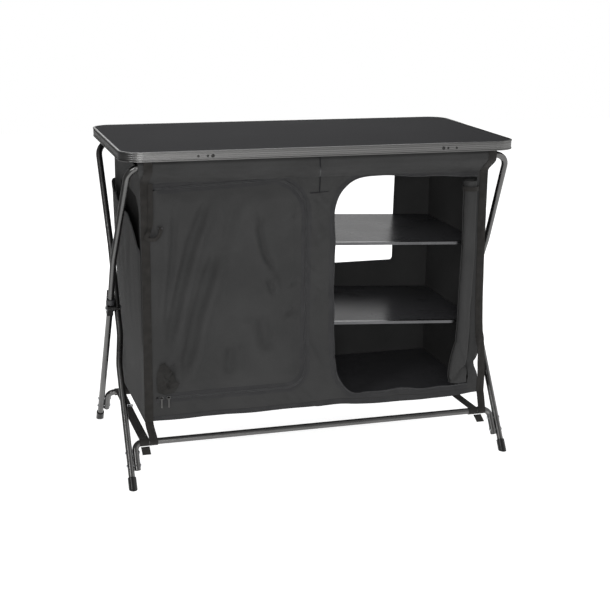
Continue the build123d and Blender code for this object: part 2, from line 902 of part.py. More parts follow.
def fold_height(share, level):
    """How far the closed door stands forward, at a share of its width and of its height."""
    rise = (min(level, 1 - level) - fold_flat_share) / fold_rise_share
    rise = min(max(rise, 0), 1)
    swell = sin(radians(90 * rise)) ** 2 * sin(radians(180 * share))
    crest = 1.0
    for top, bottom in (
        (long_fold_top, long_fold_bottom),
        (second_fold_top, second_fold_bottom),
        (upright_fold_top, upright_fold_bottom),
        (edge_fold_top, edge_fold_bottom),
    ):
        valley = bottom + (top - bottom) * level
        crest -= fold_valley_share * exp(-(((share - valley) / fold_half_width) ** 2))
    return fold_depth * swell * max(crest, 0)


def door_section(level):
    """One level section of the closed door: a thin strip that waves forward at the folds."""
    left = -opening_hinge_x + hinge_gap
    right = -opening_centre_x
    z = left_opening_bottom + level * (opening_top - left_opening_bottom)
    shares = [point / (door_section_points - 1) for point in range(door_section_points)]
    front_points = [
        Vector(left + (right - left) * share, fabric_front - fold_height(share, level), z) for share in shares
    ]
    back_points = [point + Vector(0, fabric_thickness, 0) for point in front_points]
    front_edge = Edge.make_spline(front_points)
    back_edge = Edge.make_spline(list(reversed(back_points)))
    closing = Edge.make_line(front_points[-1], back_points[-1])
    opening = Edge.make_line(back_points[0], front_points[0])
    return Face(Wire([front_edge, closing, back_edge, opening]))


def left_door():
    """The zipped left door with its slack folds."""
    run = 1 - 2 * fold_flat_share
    inner_levels = [fold_flat_share + run * section / (door_sections - 1) for section in range(door_sections)]
    sheet = loft([door_section(level) for level in [0, *inner_levels, 1]], ruled=True)
    edge = -(tape_gap + zip_half_width)
    outline = opening_outline(-1, left_opening_bottom, left_opening_bottom_radius, edge)
    cutter = xz_plate(outline, fabric_front - 2 * fold_depth, fabric_inner_front + fold_depth)
    return cutter & sheet


def roll_section(level, swell, turn):
    """One level section of the rolled door: a rounded three-lobed outline."""
    z = roll_bottom + level * (roll_top - roll_bottom)
    centre_x = opening_hinge_x - roll_edge_gap - roll_radius - swell
    centre_y = fabric_front - roll_forward
    points = []
    for step in range(roll_points):
        angle = radians(360 * step / roll_points)
        lobe = 1 - roll_lobe + roll_lobe * cos(3 * (angle + turn))
        across = (roll_radius + swell) * lobe
        deep = roll_flatness * roll_radius * lobe
        points.append(Vector(centre_x + across * cos(angle), centre_y + deep * sin(angle), z))
    return Face(Wire([Edge.make_spline(points, periodic=True)]))


def rolled_door():
    """The right door, rolled up against its hinge edge."""
    sections = [
        roll_section(0, roll_bunch, 0.0),
        roll_section(0.15, 0.7 * roll_bunch, 0.2),
        roll_section(0.4, 0.1 * roll_bunch, 0.5),
        roll_section(0.75, 0, 0.8),
        roll_section(0.9, 0, 0.9),
        roll_section(1, 0, 0.9),
    ]
    hem = block(
        (opening_hinge_x - roll_radius, opening_hinge_x - roll_hem_gap),
        (fabric_front, fabric_inner_front),
        (roll_hem_bottom, roll_tie_height - roll_hem_gap),
    )
    return loft(sections, ruled=True) + hem


def roll_tie():
    """The band that holds the rolled door near its top."""
    centre_x = opening_hinge_x - roll_edge_gap - roll_radius
    outer_x = roll_radius + roll_tie_thickness + roll_tie_gap
    outer_y = roll_flatness * outer_x
    band = Ellipse(outer_x, outer_y) - Ellipse(outer_x - roll_tie_thickness, outer_y - roll_tie_thickness)
    placed = Pos(centre_x, fabric_front - roll_forward, roll_tie_height) * band
    return extrude(placed, amount=roll_tie_width)


def rear_panel():
    """The rear face with a window opening in each compartment."""
    height = fabric_top - cupboard_bottom
    face = Pos(0, (cupboard_bottom + fabric_top) / 2) * Rectangle(2 * cupboard_half, height)
    for side in (-1, 1):
        centre_x = side * (window_inner_x + window_outer_x) / 2
        window = RectangleRounded(window_outer_x - window_inner_x, window_top - window_bottom, window_radius)
        face -= Pos(centre_x, (window_bottom + window_top) / 2) * window
    return xz_plate(face, fabric_inner_back, fabric_back)


def sleeve_outline(bar_y):
    """Side view of the hem tunnel round a top bar."""
    inner = tube_radius + sleeve_gap
    outer = inner + fabric_thickness
    return bar_circle(bar_y, bar_height, outer) - bar_circle(bar_y, bar_height, inner)


def sleeve_spans():
    """X ranges of the hem tunnels, which stop short of the fittings."""
    gap = fitting_width / 2 + 3
    left, right = fitting_centres()
    end = cupboard_half - sleeve_inset
    return [(-end, left - gap), (left + gap, right - gap), (right + gap, end)]


def front_sleeve():
    """Tunnels round the front bar, with a flap that carries the front face."""
    inner = tube_radius + sleeve_gap
    outer = inner + fabric_thickness
    flap_points = [
        (-bar_reach, bar_height - outer),
        (fabric_front, fabric_top + fabric_gap),
        (fabric_inner_front, fabric_top + fabric_gap),
        (fabric_inner_front, fabric_top + fabric_gap + fabric_thickness),
        (-bar_reach, bar_height - inner),
    ]
    flap = make_face(Polyline(*flap_points, close=True))
    outline = sleeve_outline(-bar_reach) + flap - bar_circle(-bar_reach, bar_height, inner)
    return Compound(children=[yz_plate(outline, low, high) for low, high in sleeve_spans()])


def rear_sleeve():
    """Tunnels round the rear bar, with a flap that carries the rear face."""
    inner = tube_radius + sleeve_gap
    flap = yz_box((fabric_inner_back, fabric_back), (fabric_top + fabric_gap, bar_height))
    outline = sleeve_outline(bar_reach) + flap - bar_circle(bar_reach, bar_height, inner)
    return Compound(children=[yz_plate(outline, low, high) for low, high in sleeve_spans()])


def pocket_section(z, bulge):
    """One level section of a side pocket: a thin crescent against the side wall."""
    wall = cupboard_half + fabric_gap
    front = fabric_front + pocket_edge_inset
    back = fabric_back - pocket_edge_inset
    middle = (front + back) / 2
    outer = Edge.make_three_point_arc(
        Vector(wall, front, z), Vector(wall + bulge, middle, z), Vector(wall, back, z)
    )
    inset = pocket_wall * (back - front) / (4 * bulge)
    inner = Edge.make_three_point_arc(
        Vector(wall, back - inset, z),
        Vector(wall + bulge - pocket_wall, middle, z),
        Vector(wall, front + inset, z),
    )
    rear_foot = Edge.make_line(Vector(wall, back, z), Vector(wall, back - inset, z))
    front_foot = Edge.make_line(Vector(wall, front + inset, z), Vector(wall, front, z))
    return Face(Wire([outer, rear_foot, inner, front_foot]))


def side_pocket():
    """A slack pocket on the outside of a side wall, with a slanting mouth."""
    middle_height = (pocket_bottom + pocket_top) / 2
    middle_bulge = (pocket_bulge + pocket_bulge_bottom) / 2
    body = loft(
        [
            pocket_section(pocket_bottom, pocket_bulge_bottom),
            pocket_section(middle_height, middle_bulge),
            pocket_section(pocket_top, pocket_bulge),
        ]
    )
    mouth_points = [
        (fabric_front - 10, pocket_mouth_front),
        (pocket_mouth_bend, pocket_top),
        (pocket_mouth_bend, pocket_top + 10),
        (fabric_front - 10, pocket_top + 10),
    ]
    mouth = make_face(Polyline(*mouth_points, close=True))
    return body - yz_plate(mouth, cupboard_half - 10, cupboard_half + 2 * pocket_bulge)


def cupboard_walls():
    """The fabric walls, floor and divider."""
    save(front_panel(), "front_panel")
    save(rear_panel(), "rear_panel")
    inner_front = fabric_inner_front + fabric_gap
    inner_back = fabric_inner_back - fabric_gap
    for side, side_name in ((-1, "left"), (1, "right")):
        wall = block((wall_inner_x, cupboard_half), (inner_front, inner_back), (cupboard_bottom, fabric_top))
        save(side_copy(wall, side), "side_panel_" + side_name)
        save(side_copy(side_pocket(), side), "side_pocket_" + side_name)
    floor_edge = wall_inner_x - fabric_gap
    floor = block((-floor_edge, floor_edge), (inner_front, inner_back), (cupboard_bottom, floor_top))
    save(floor, "fabric_floor")
    half_wall = fabric_thickness / 2
    divider = block((-half_wall, half_wall), (inner_front, inner_back), (floor_top + fabric_gap, fabric_top))
    save(divider, "divider_panel")
    save(front_sleeve(), "front_bar_sleeve")
    save(rear_sleeve(), "rear_bar_sleeve")


def shelf_place(height, dip):
    """The plane of a right shelf's top face, at the divider, dipping to the outside."""
    run = wall_inner_x - fabric_thickness / 2
    tilt = atan2(dip, run)
    return Plane(
        origin=(fabric_thickness / 2, 0, height),
        x_dir=(cos(tilt), 0, -sin(tilt)),
        z_dir=(sin(tilt), 0, cos(tilt)),
    )


def shelf_pieces():
    """Shelf boards, their front bindings and the tapes that carry them."""
    run = wall_inner_x - fabric_thickness / 2
    front = fabric_inner_front + shelf_front_gap
    back = fabric_inner_back - shelf_side_gap
    bindings = []
    tapes = []
    for side, side_name in ((-1, "left"), (1, "right")):
        for height, dip, level_name in (
            (upper_shelf_height, upper_shelf_dip, "upper"),
            (lower_shelf_height, lower_shelf_dip, "lower"),
        ):
            place = shelf_place(height, dip).location
            board = block((shelf_side_gap, run - shelf_side_gap), (front, back), (-shelf_thickness, 0))
            save(side_copy(place * board, side), level_name + "_shelf_board_" + side_name)
            outer = block(
                (shelf_side_gap, run - shelf_side_gap),
                (front - binding_gap - binding_wall, front + binding_reach),
                (-shelf_thickness - binding_gap - binding_wall, binding_gap + binding_wall),
            )
            inner = block(
                (0, run),
                (front - binding_gap, front + 2 * binding_reach),
                (-shelf_thickness - binding_gap, binding_gap),
            )
            bindings.append(side_copy(place * (outer - inner), side))
            tape_top = -shelf_thickness - binding_gap
            for low, high in (
                (shelf_side_gap, shelf_tape_width),
                (run - shelf_tape_width, run - shelf_side_gap),
            ):
                tape = block(
                    (low, high),
                    (front + binding_reach + 1, back),
                    (tape_top - shelf_tape_thickness, tape_top),
                )
                tapes.append(side_copy(place * tape, side))
        floor_board = block(
            (fabric_thickness / 2 + shelf_side_gap, wall_inner_x - 2 * shelf_side_gap),
            (front, back),
            (floor_top + fabric_gap, floor_board_top),
        )
        save(side_copy(floor_board, side), "floor_board_" + side_name)
    save(Compound(children=bindings), "shelf_bindings")
    save(Compound(children=tapes), "shelf_tapes")


def strap_loop(bar_y, wall_y, facing, loop_edge):
    """A webbing end that drops from the right corner and wraps round a crossbar.

    facing is 1 for the rear bar and -1 for the front bar."""
    inner = tube_radius + strap_wrap_gap
    outer = inner + webbing_thickness
    ring = bar_circle(bar_y, crossbar_height, outer) - bar_circle(bar_y, crossbar_height, inner)
    loop = yz_plate(ring, loop_edge - webbing_width, loop_edge)
    middle = (outer + inner) / 2
    high_y = wall_y - facing * webbing_thickness / 2
    rise = cupboard_bottom - fabric_gap - crossbar_height
    run = facing * (high_y - bar_y)
    angle = atan2(rise, run) - acos(middle / hypot(rise, run))
    low_x = loop_edge - webbing_width / 2
    high_x = cupboard_half - webbing_edge_inset - webbing_width / 2
    tangent = Plane(
        origin=(low_x, bar_y + facing * middle * cos(angle), crossbar_height + middle * sin(angle)),
        x_dir=(1, 0, 0),
        z_dir=(0, -facing * sin(angle), cos(angle)),
    )
    drop = loft(
        [
            tangent * Rectangle(webbing_width, strap_seam_share * webbing_thickness),
            Pos(high_x, high_y, cupboard_bottom - fabric_gap) * Rectangle(webbing_width, webbing_thickness),
        ]
    )
    return loop + drop


def strap_pieces():
    """Sewn corner webbing, its loops round the crossbars, and the spreader straps."""
    outer_x = cupboard_half - webbing_edge_inset
    inner_x = outer_x - webbing_width
    front_face = fabric_front - fabric_gap
    back_face = fabric_back + fabric_gap
    front_web = block((inner_x, outer_x), (front_face - webbing_thickness, front_face), (cupboard_bottom, fabric_top))
    rear_web = block((inner_x, outer_x), (back_face, back_face + webbing_thickness), (cupboard_bottom, fabric_top))
    save(both_sides(front_web), "front_corner_webbing")
    save(both_sides(rear_web), "rear_corner_webbing")
    loop_edges = ((-1, left_loop_edge), (1, right_loop_edge))
    spreader_edges = ((-1, left_spreader_edge, "left"), (1, right_spreader_edge, "right"))
    front_wall = front_face - webbing_thickness
    rear_wall = back_face + webbing_thickness
    front_loops = [side_copy(strap_loop(-crossbar_reach, front_wall, -1, edge), side) for side, edge in loop_edges]
    rear_loops = [side_copy(strap_loop(crossbar_reach, rear_wall, 1, edge), side) for side, edge in loop_edges]
    save(Compound(children=front_loops), "front_strap_loops")
    save(Compound(children=rear_loops), "rear_strap_loops")
    buckles = [side_copy(spreader_buckle(edge), side) for side, edge, _ in spreader_edges]
    save(Compound(children=buckles), "spreader_buckles")
    for side, edge, side_name in spreader_edges:
        save(side_copy(spreader_strap(edge), side), "spreader_strap_" + side_name)


def spreader_strap(edge):
    """A strap from crossbar to crossbar that keeps the feet from sliding apart."""
    inner = tube_radius + strap_wrap_gap
    outer = inner + spreader_thickness
    top = crossbar_height + outer
    run = yz_box((-crossbar_reach, crossbar_reach), (top - spreader_thickness, top))
    outline = run
    for bar_y in (-crossbar_reach, crossbar_reach):
        outline += bar_circle(bar_y, crossbar_height, outer)
    outline -= bar_circle(-crossbar_reach, crossbar_height, inner)
    outline -= bar_circle(crossbar_reach, crossbar_height, inner)
    return yz_plate(outline, edge - spreader_width, edge)


def spreader_buckle(edge):
    """A steel frame through which the spreader strap is adjusted."""
    half = buckle_length / 2
    top = crossbar_height + tube_radius + strap_wrap_gap + spreader_thickness
    low = top + strap_wrap_gap
    outer = block(
        (edge - spreader_width - buckle_wire, edge + buckle_wire),
        (buckle_place - half, buckle_place + half),
        (low, low + buckle_wire),
    )
    slot_half = (half - 1.5 * buckle_wire) / 2
    for step in (-1, 1):
        middle = buckle_place + step * (slot_half + buckle_wire / 2)
        outer -= block(
            (edge - spreader_width, edge),
            (middle - slot_half, middle + slot_half),
            (low - 1, low + 2 * buckle_wire),
        )
    return outer


def slider_body(x):
    """The plate of a zip slider with a bridge for its pull."""
    zip_front = (fabric_front + fabric_inner_front) / 2 - zip_thickness / 2
    back = zip_front - slider_gap
    plate = Pos(x, back - slider_thickness / 2, left_opening_bottom) * (
        Rot(90, 0, 0) * extrude(RectangleRounded(slider_length, slider_width, 2.5), amount=slider_thickness / 2, both=True)
    )
    bridge_y = back - slider_thickness - bridge_rise
    half = bridge_span / 2
    bridge = cross_pin(x - half - bridge_post, x + half + bridge_post, bridge_y, left_opening_bottom, bridge_radius)
    for low in (x - half - bridge_post, x + half):
        bridge += block(
            (low, low + bridge_post),
            (bridge_y, back - slider_thickness),
            (left_opening_bottom - bridge_radius, left_opening_bottom + bridge_radius),
        )
    return plate + bridge, bridge_y


def slider_pull(x, bridge_y):
    """A pull tab that hangs from a slider's bridge."""
    centre_z = left_opening_bottom
    eye = cross_pin(x - pull_width / 2, x + pull_width / 2, bridge_y, centre_z, pull_eye_radius)
    tab = block(
        (x - pull_width / 2, x + pull_width / 2),
        (bridge_y - pull_thickness / 2, bridge_y + pull_thickness / 2),
        (centre_z - pull_length, centre_z),
    )
    tip = Pos(x, bridge_y, centre_z - pull_length) * Rot(90, 0, 0) * Cylinder(pull_tip_radius, pull_thickness)
    hole = cross_pin(x - pull_width, x + pull_width, bridge_y, centre_z, bridge_radius + pull_eye_gap)
    return eye + tab + tip - hole


def door_pieces():
    """The doors, their zips, sliders and ties."""
    save(left_door(), "left_door_panel")
    inner = zip_gap
    outer = zip_gap + zip_half_width
    fixed = zip_band(-1, left_opening_bottom, left_opening_bottom_radius, outer, inner)
    moving = zip_band(-1, left_opening_bottom, left_opening_bottom_radius, -inner, -zip_half_width)
    trim = block(
        (-opening_hinge_x - 50, -opening_hinge_x + hinge_gap),
        (fabric_front - 10, fabric_front + 10),
        (0, table_height),
    )
    save(fixed, "left_zip_fixed_half")
    save(moving - trim, "left_zip_door_half")
    save(
        zip_band(1, right_opening_bottom, right_opening_bottom_radius, outer, inner),
        "right_zip_fixed_half",
    )
    save(rolled_door(), "right_door_roll")
    save(roll_tie(), "right_door_tie")
    for number, side_name in enumerate(("left", "right")):
        x = slider_first_x + number * slider_spacing
        body, bridge_y = slider_body(x)
        save(body, "zip_slider_" + side_name)
        save(slider_pull(x, bridge_y), "zip_pull_" + side_name)
    save(left_tie(), "left_door_tie")


def left_tie():
    """The tape and toggle that hold the left door when it is rolled up."""
    y = fabric_front - 2 * fabric_gap - webbing_thickness - tie_thickness / 2
    points = [
        (tie_left_x, y, tie_bottom),
        (tie_right_x, y, tie_bottom),
        (tie_right_x, y, tie_bottom + tie_rise),
    ]
    path = bent_wire(points, [tie_bend])
    section = Plane(origin=path @ 0, x_dir=(0, 1, 0), z_dir=path % 0) * Rectangle(tie_thickness, tie_width)
    tape = sweep(section, path=path)
    toggle_y = y + tie_thickness / 2 - toggle_radius
    toggle = Pos(tie_right_x, toggle_y, tie_bottom + tie_rise + toggle_radius) * Rot(0, 90, 0) * Cylinder(
        toggle_radius, toggle_length
    )
    return tape + toggle


os.makedirs("parts", exist_ok=True)
table_pieces()
fitting_pieces()
frame_pieces()
cupboard_walls()
shelf_pieces()
strap_pieces()
door_pieces()
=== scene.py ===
import bpy
import bmesh
import json
import numpy as np
from math import atan2, cos, exp, hypot, pi, radians, sin, sqrt
from mathutils import Matrix, Vector, noise
from mathutils.geometry import delaunay_2d_cdt


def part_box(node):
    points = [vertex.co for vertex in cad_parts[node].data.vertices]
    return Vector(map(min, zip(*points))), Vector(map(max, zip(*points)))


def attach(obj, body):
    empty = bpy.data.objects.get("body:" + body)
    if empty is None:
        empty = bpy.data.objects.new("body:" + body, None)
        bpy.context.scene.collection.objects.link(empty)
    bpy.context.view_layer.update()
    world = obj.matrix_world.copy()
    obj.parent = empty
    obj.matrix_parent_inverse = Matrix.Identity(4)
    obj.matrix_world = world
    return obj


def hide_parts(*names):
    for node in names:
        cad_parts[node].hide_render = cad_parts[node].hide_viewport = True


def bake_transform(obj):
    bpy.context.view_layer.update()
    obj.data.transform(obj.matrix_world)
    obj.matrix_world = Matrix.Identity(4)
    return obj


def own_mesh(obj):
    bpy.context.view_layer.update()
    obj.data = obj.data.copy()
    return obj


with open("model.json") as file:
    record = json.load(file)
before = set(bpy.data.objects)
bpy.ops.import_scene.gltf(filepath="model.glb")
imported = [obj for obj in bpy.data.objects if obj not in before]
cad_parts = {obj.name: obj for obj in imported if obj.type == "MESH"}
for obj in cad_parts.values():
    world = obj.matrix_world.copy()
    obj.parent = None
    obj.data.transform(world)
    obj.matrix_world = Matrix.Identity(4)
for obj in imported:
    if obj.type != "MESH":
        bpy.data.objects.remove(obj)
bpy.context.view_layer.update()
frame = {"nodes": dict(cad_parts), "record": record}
nodes = frame["nodes"]

# a wave texture of scale 1 has a band every 0.314 metres
wave_pitch = 0.314
rib_pitch, pick_pitch = 0.0022, 0.0009
stitch_rows, stitch_pitch = 0.0045, 0.0030
tooth_pitch = 0.0019


# materials
def new_material(name):
    """A node material with its shader, its object coordinates and its UV, which holds cloth in metres."""
    material = bpy.data.materials.new(name)
    material.use_nodes = True
    tree = material.node_tree
    places = tree.nodes.new("ShaderNodeTexCoord").outputs
    return material, tree, tree.nodes["Principled BSDF"], places["Object"], places["UV"]


def node_of(tree, kind, output, links, values):
    """Adds a node, links what feeds it, sets its plain values and returns one of its outputs."""
    node = tree.nodes.new(kind)
    for socket, source in links.items():
        tree.links.new(source, node.inputs[socket])
    for socket, value in values.items():
        node.inputs[socket].default_value = value
    return node.outputs[output]


def mapped(tree, source, scale):
    """The coordinates of source, scaled along each axis."""
    return node_of(tree, "ShaderNodeMapping", "Vector", {"Vector": source}, {"Scale": scale})


def noise_of(tree, source, scale, detail=3.0, rough=0.5):
    """Soft noise of so many spots a metre."""
    values = {"Scale": scale, "Detail": detail, "Roughness": rough}
    return node_of(tree, "ShaderNodeTexNoise", "Fac", {"Vector": source}, values)


def bands_of(tree, source, axis, pitch):
    """Even bands that follow each other along an axis, one for each pitch in metres."""
    bands = node_of(tree, "ShaderNodeTexWave", "Fac", {"Vector": source}, {"Scale": wave_pitch / pitch})
    bands.node.bands_direction = axis
    return bands


def combine(tree, kind, first, second):
    """Two values added, multiplied or compared; the second may be a plain number."""
    node = tree.nodes.new("ShaderNodeMath")
    node.operation = kind
    for socket, value in zip(node.inputs, (first, second)):
        if isinstance(value, float):
            socket.default_value = value
        else:
            tree.links.new(value, socket)
    return node.outputs[0]


def weighted(tree, first, first_share, second, second_share):
    """Two values added in given shares."""
    first_part = combine(tree, "MULTIPLY", first, first_share)
    return combine(tree, "ADD", first_part, combine(tree, "MULTIPLY", second, second_share))


def ramp(tree, source, low, high, low_place=0.0, high_place=1.0):
    """A colour that goes from low to high as source goes between two places."""
    node = tree.nodes.new("ShaderNodeValToRGB")
    for element, place, colour in zip(node.color_ramp.elements, (low_place, high_place), (low, high)):
        element.position = place
        element.color = (*colour, 1)
    tree.links.new(source, node.inputs["Fac"])
    return node.outputs["Color"]


def span(tree, source, low, high, from_low=0.0, from_high=1.0):
    """A value that goes from low to high as source goes from from_low to from_high."""
    values = {"From Min": from_low, "From Max": from_high, "To Min": low, "To Max": high}
    return node_of(tree, "ShaderNodeMapRange", "Result", {"Value": source}, values)


def bump(tree, shader, height, distance, strength, below=None):
    """Raises the surface by height, on top of the relief below."""
    links = {"Height": height} if below is None else {"Height": height, "Normal": below}
    normal = node_of(tree, "ShaderNodeBump", "Normal", links, {"Strength": strength, "Distance": distance})
    tree.links.new(normal, shader.inputs["Normal"])
    return normal


def dress(tree, shader, colour, rough, values):
    """Links a shader's colour and roughness, and sets its plain values."""
    tree.links.new(colour, shader.inputs["Base Color"])
    tree.links.new(rough, shader.inputs["Roughness"])
    for socket, value in values.items():
        shader.inputs[socket].default_value = value


def grey(value):
    """A colour of one grey."""
    return (value, value, value)


def cloth_material(name, dark, light, thread=0.0011, sheen=0.05, wrinkle=0.0009):
    """Plain woven polyester: crossing threads, small puckers and uneven dye."""
    material, tree, shader, spot, uv = new_material(name)
    weave = combine(tree, "MULTIPLY", bands_of(tree, uv, "X", thread), bands_of(tree, uv, "Y", thread))
    blotch = noise_of(tree, spot, 9.0, 5.0)
    tone = weighted(tree, blotch, 0.6, noise_of(tree, spot, 900.0, 2.0), 0.4)
    gloss = {"Sheen Weight": sheen, "Sheen Roughness": 0.45, "Specular IOR Level": 0.04}
    dress(tree, shader, ramp(tree, tone, dark, light, 0.3, 0.72), span(tree, blotch, 0.66, 0.84), gloss)
    puckers = bump(tree, shader, noise_of(tree, spot, 42.0, 4.0, 0.55), wrinkle, 0.55)
    bump(tree, shader, weave, 0.00022, 0.5, puckers)
    return material


def webbing_material(name, dark, light):
    """Ribbed webbing: ribs along the tape, crossed by fine picks."""
    material, tree, shader, spot, uv = new_material(name)
    ribs = bands_of(tree, uv, "X", rib_pitch)
    weave = combine(tree, "ADD", ribs, combine(tree, "MULTIPLY", bands_of(tree, uv, "Y", pick_pitch), 0.5))
    wear = noise_of(tree, spot, 60.0, 5.0)
    gloss = {"Sheen Weight": 0.05, "Specular IOR Level": 0.08}
    dress(tree, shader, ramp(tree, wear, dark, light, 0.3, 0.75), span(tree, wear, 0.62, 0.85), gloss)
    bump(tree, shader, weave, 0.0004, 0.7)
    return material


def stitched_material(name, dark, light):
    """Folded woven tape with a line of stitches along each edge."""
    material, tree, shader, spot, uv = new_material(name)
    warp, weft = bands_of(tree, uv, "X", pick_pitch), bands_of(tree, uv, "Y", pick_pitch)
    weave = combine(tree, "MULTIPLY", warp, weft)
    rows = combine(tree, "GREATER_THAN", bands_of(tree, uv, "X", stitch_rows), 0.93)
    dashes = combine(tree, "GREATER_THAN", bands_of(tree, uv, "Y", stitch_pitch), 0.35)
    stitches = combine(tree, "MULTIPLY", rows, dashes)
    blotch = noise_of(tree, spot, 30.0, 4.0)
    tone = weighted(tree, blotch, 0.7, stitches, 0.35)
    gloss = {"Sheen Weight": 0.03, "Specular IOR Level": 0.05}
    dress(tree, shader, ramp(tree, tone, dark, light, 0.25, 0.8), span(tree, blotch, 0.66, 0.82), gloss)
    bump(tree, shader, stitches, 0.0005, 0.8, bump(tree, shader, weave, 0.0002, 0.5))
    return material


def zip_material(name, dark, light):
    """A nylon coil: fine teeth across the band, in relief and also in the colour as painted shade between the
    teeth.
    """
    material, tree, shader, spot, uv = new_material(name)
    teeth = bands_of(tree, uv, "Y", tooth_pitch)
    grime = noise_of(tree, spot, 120.0)
    # painted shade: the teeth darken the colour between them, together with random grime
    colour = ramp(tree, combine(tree, "MULTIPLY", teeth, grime), dark, light, 0.1, 0.6)
    dress(tree, shader, colour, span(tree, grime, 0.3, 0.5), {})
    bump(tree, shader, teeth, 0.0009, 0.9)
    return material


def metal_material(name, dark, light, rough, grain=grey(1.0), ridge=0.00003, speckle=700.0, grooves=None):
    """Satin metal or paint: drawn grain, uneven gloss and, on the edging, ridges along its length, with
    painted shade in dark bands along the ridges.
    """
    material, tree, shader, spot, _ = new_material(name)
    fine = noise_of(tree, mapped(tree, spot, grain), speckle)
    tone = weighted(tree, noise_of(tree, spot, 14.0, 4.0), 0.6, fine, 0.4)
    drawn = bump(tree, shader, fine, ridge, 0.5)
    shade, ends = tone, (0.3, 0.7)
    if grooves:
        # painted shade: the ridge lines also darken the colour in bands along the edging
        lines = bands_of(tree, spot, "Z", grooves)
        shade, ends = combine(tree, "SUBTRACT", tone, span(tree, lines, 0.60, 1.0, 0.0, 0.30)), (0.05, 0.6)
        bump(tree, shader, lines, 0.0006, 0.6, drawn)
    gloss = span(tree, tone, *rough, 0.3, 0.7)
    dress(tree, shader, ramp(tree, shade, dark, light, *ends), gloss, {"Metallic": 1.0})
    return material


def plastic_material(name, dark, light, rough, grain=500.0, depth=0.00012, specular=0.5):
    """Moulded plastic, rubber or laminate with its fine surface grain."""
    material, tree, shader, spot, _ = new_material(name)
    fine = noise_of(tree, spot, grain, 4.0)
    tone = weighted(tree, noise_of(tree, spot, 7.0, 4.0), 0.55, fine, 0.45)
    gloss = span(tree, tone, *rough, 0.3, 0.7)
    dress(tree, shader, ramp(tree, tone, dark, light, 0.3, 0.7), gloss, {"Specular IOR Level": specular})
    bump(tree, shader, fine, depth, 0.5)
    return material


cloth = cloth_material("cupboard_cloth", grey(0.030), grey(0.044))
door_cloth = cloth_material("door_cloth", grey(0.030), grey(0.045), wrinkle=0.0012)
webbing = webbing_material("webbing", (0.0170, 0.0160, 0.0150), (0.0275, 0.0259, 0.0245))
# painted shade: a darker cloth for the patch that stands in for the shadow inside each side pocket
pocket_shade_cloth = cloth_material("pocket_painted_shade", grey(0.014), grey(0.024), sheen=0.0)
flap_cloth = cloth_material("zip_end_flap", (0.014, 0.0136, 0.013), (0.036, 0.035, 0.034))
# painted shade: a near-black cloth for the centre seam strip, standing in for the shadow in the seam's groove
seam_painted_shade = cloth_material(
    "seam_painted_shade", (0.009, 0.009, 0.010), (0.018, 0.018, 0.019), thread=0.0008, sheen=0.25, wrinkle=0.0002
)
stitched = stitched_material("stitched_tape", (0.030, 0.030, 0.031), (0.044, 0.044, 0.045))
zip_coil = zip_material("zip_coil", (0.008, 0.008, 0.009), (0.034, 0.034, 0.036))
top_laminate = plastic_material(
    "board_laminate", (0.038, 0.038, 0.041), (0.050, 0.050, 0.053), (0.72, 0.84), 1400.0, 0.00016, 0.06
)
shelf_laminate = plastic_material(
    "shelf_laminate", (0.054, 0.054, 0.058), (0.070, 0.070, 0.075), (0.24, 0.33), 900.0, 0.00003, 0.06
)
edging_metal = metal_material(
    "edging_aluminium",
    (0.14, 0.139, 0.137),
    (0.32, 0.315, 0.308),
    (0.34, 0.44),
    (0.05, 0.05, 6.0),
    speckle=160.0,
    grooves=0.0046,
)
frame_paint = metal_material(
    "frame_paint", (0.095, 0.094, 0.093), (0.15, 0.149, 0.147), (0.25, 0.33), ridge=0.00001
)
dark_steel = metal_material("dark_steel", grey(0.020), (0.048, 0.047, 0.046), (0.30, 0.45))
pull_metal = metal_material(
    "pull_metal", (0.050, 0.049, 0.048), (0.10, 0.099, 0.097), (0.14, 0.22), ridge=0.00001
)
steel = metal_material("bright_steel", (0.50, 0.51, 0.53), (0.68, 0.69, 0.71), (0.20, 0.34), (1.0, 1.0, 4.0))
binding_metal = metal_material(
    "binding_edge", (0.085, 0.085, 0.088), (0.13, 0.13, 0.134), (0.24, 0.34), (0.05, 1.0, 3.0)
)
black_plastic = plastic_material("black_plastic", (0.014, 0.014, 0.015), (0.024, 0.024, 0.026), (0.40, 0.55))
cap_rubber = plastic_material("cap_rubber", grey(0.008), grey(0.014), (0.22, 0.32), 700.0, 0.00003, 0.3)

finishes = {
    "board_laminate": top_laminate,
    "edging_aluminium": edging_metal,
    "frame_paint": frame_paint,
    "bright_steel": steel,
    "black_plastic": black_plastic,
    "cap_rubber": cap_rubber,
    "cupboard_cloth": cloth,
    "door_cloth": door_cloth,
    "webbing": webbing,
    "zip_tape": zip_coil,
    "shelf_laminate": shelf_laminate,
    "binding_edge": binding_metal,
}
dark_fittings = ("edging_rivets", "edging_screws", "front_hook", "rear_saddle", "pivot_bracket")
slot_of_node = {part["node"]: part["material_slot"] for part in frame["record"]["subparts"]}
for node_name, node in nodes.items():
    finish = dark_steel if node_name.startswith(dark_fittings) else finishes[slot_of_node[node_name]]
    node.data.materials.clear()
    node.data.materials.append(pull_metal if node_name.startswith("zip_") else finish)

# places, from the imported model
front_low, front_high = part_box("front_panel")
rear_low, rear_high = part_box("rear_panel")
half_width = front_high[0]
cloth_bottom, cloth_top = front_low[2], front_high[2]
cloth_height = cloth_top - cloth_bottom
front_middle = (front_low[1] + front_high[1]) / 2
rear_middle = (rear_low[1] + rear_high[1]) / 2
cloth_thickness = 0.0011
opening_hinge = 0.418
opening_centre = 0.036
opening_top = cloth_top - 0.0317
opening_dip = 0.017
top_radius, left_radius, right_radius = 0.092, 0.048, 0.062
left_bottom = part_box("left_door_panel")[0][2] - 0.0031
right_bottom = cloth_bottom + 0.027
shelf_rise = 0.010
shelf_levels = [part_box(name + "_shelf_board_left")[0][2] + shelf_rise for name in ("lower", "upper")]
levels = [cloth_bottom, *shelf_levels, cloth_top]


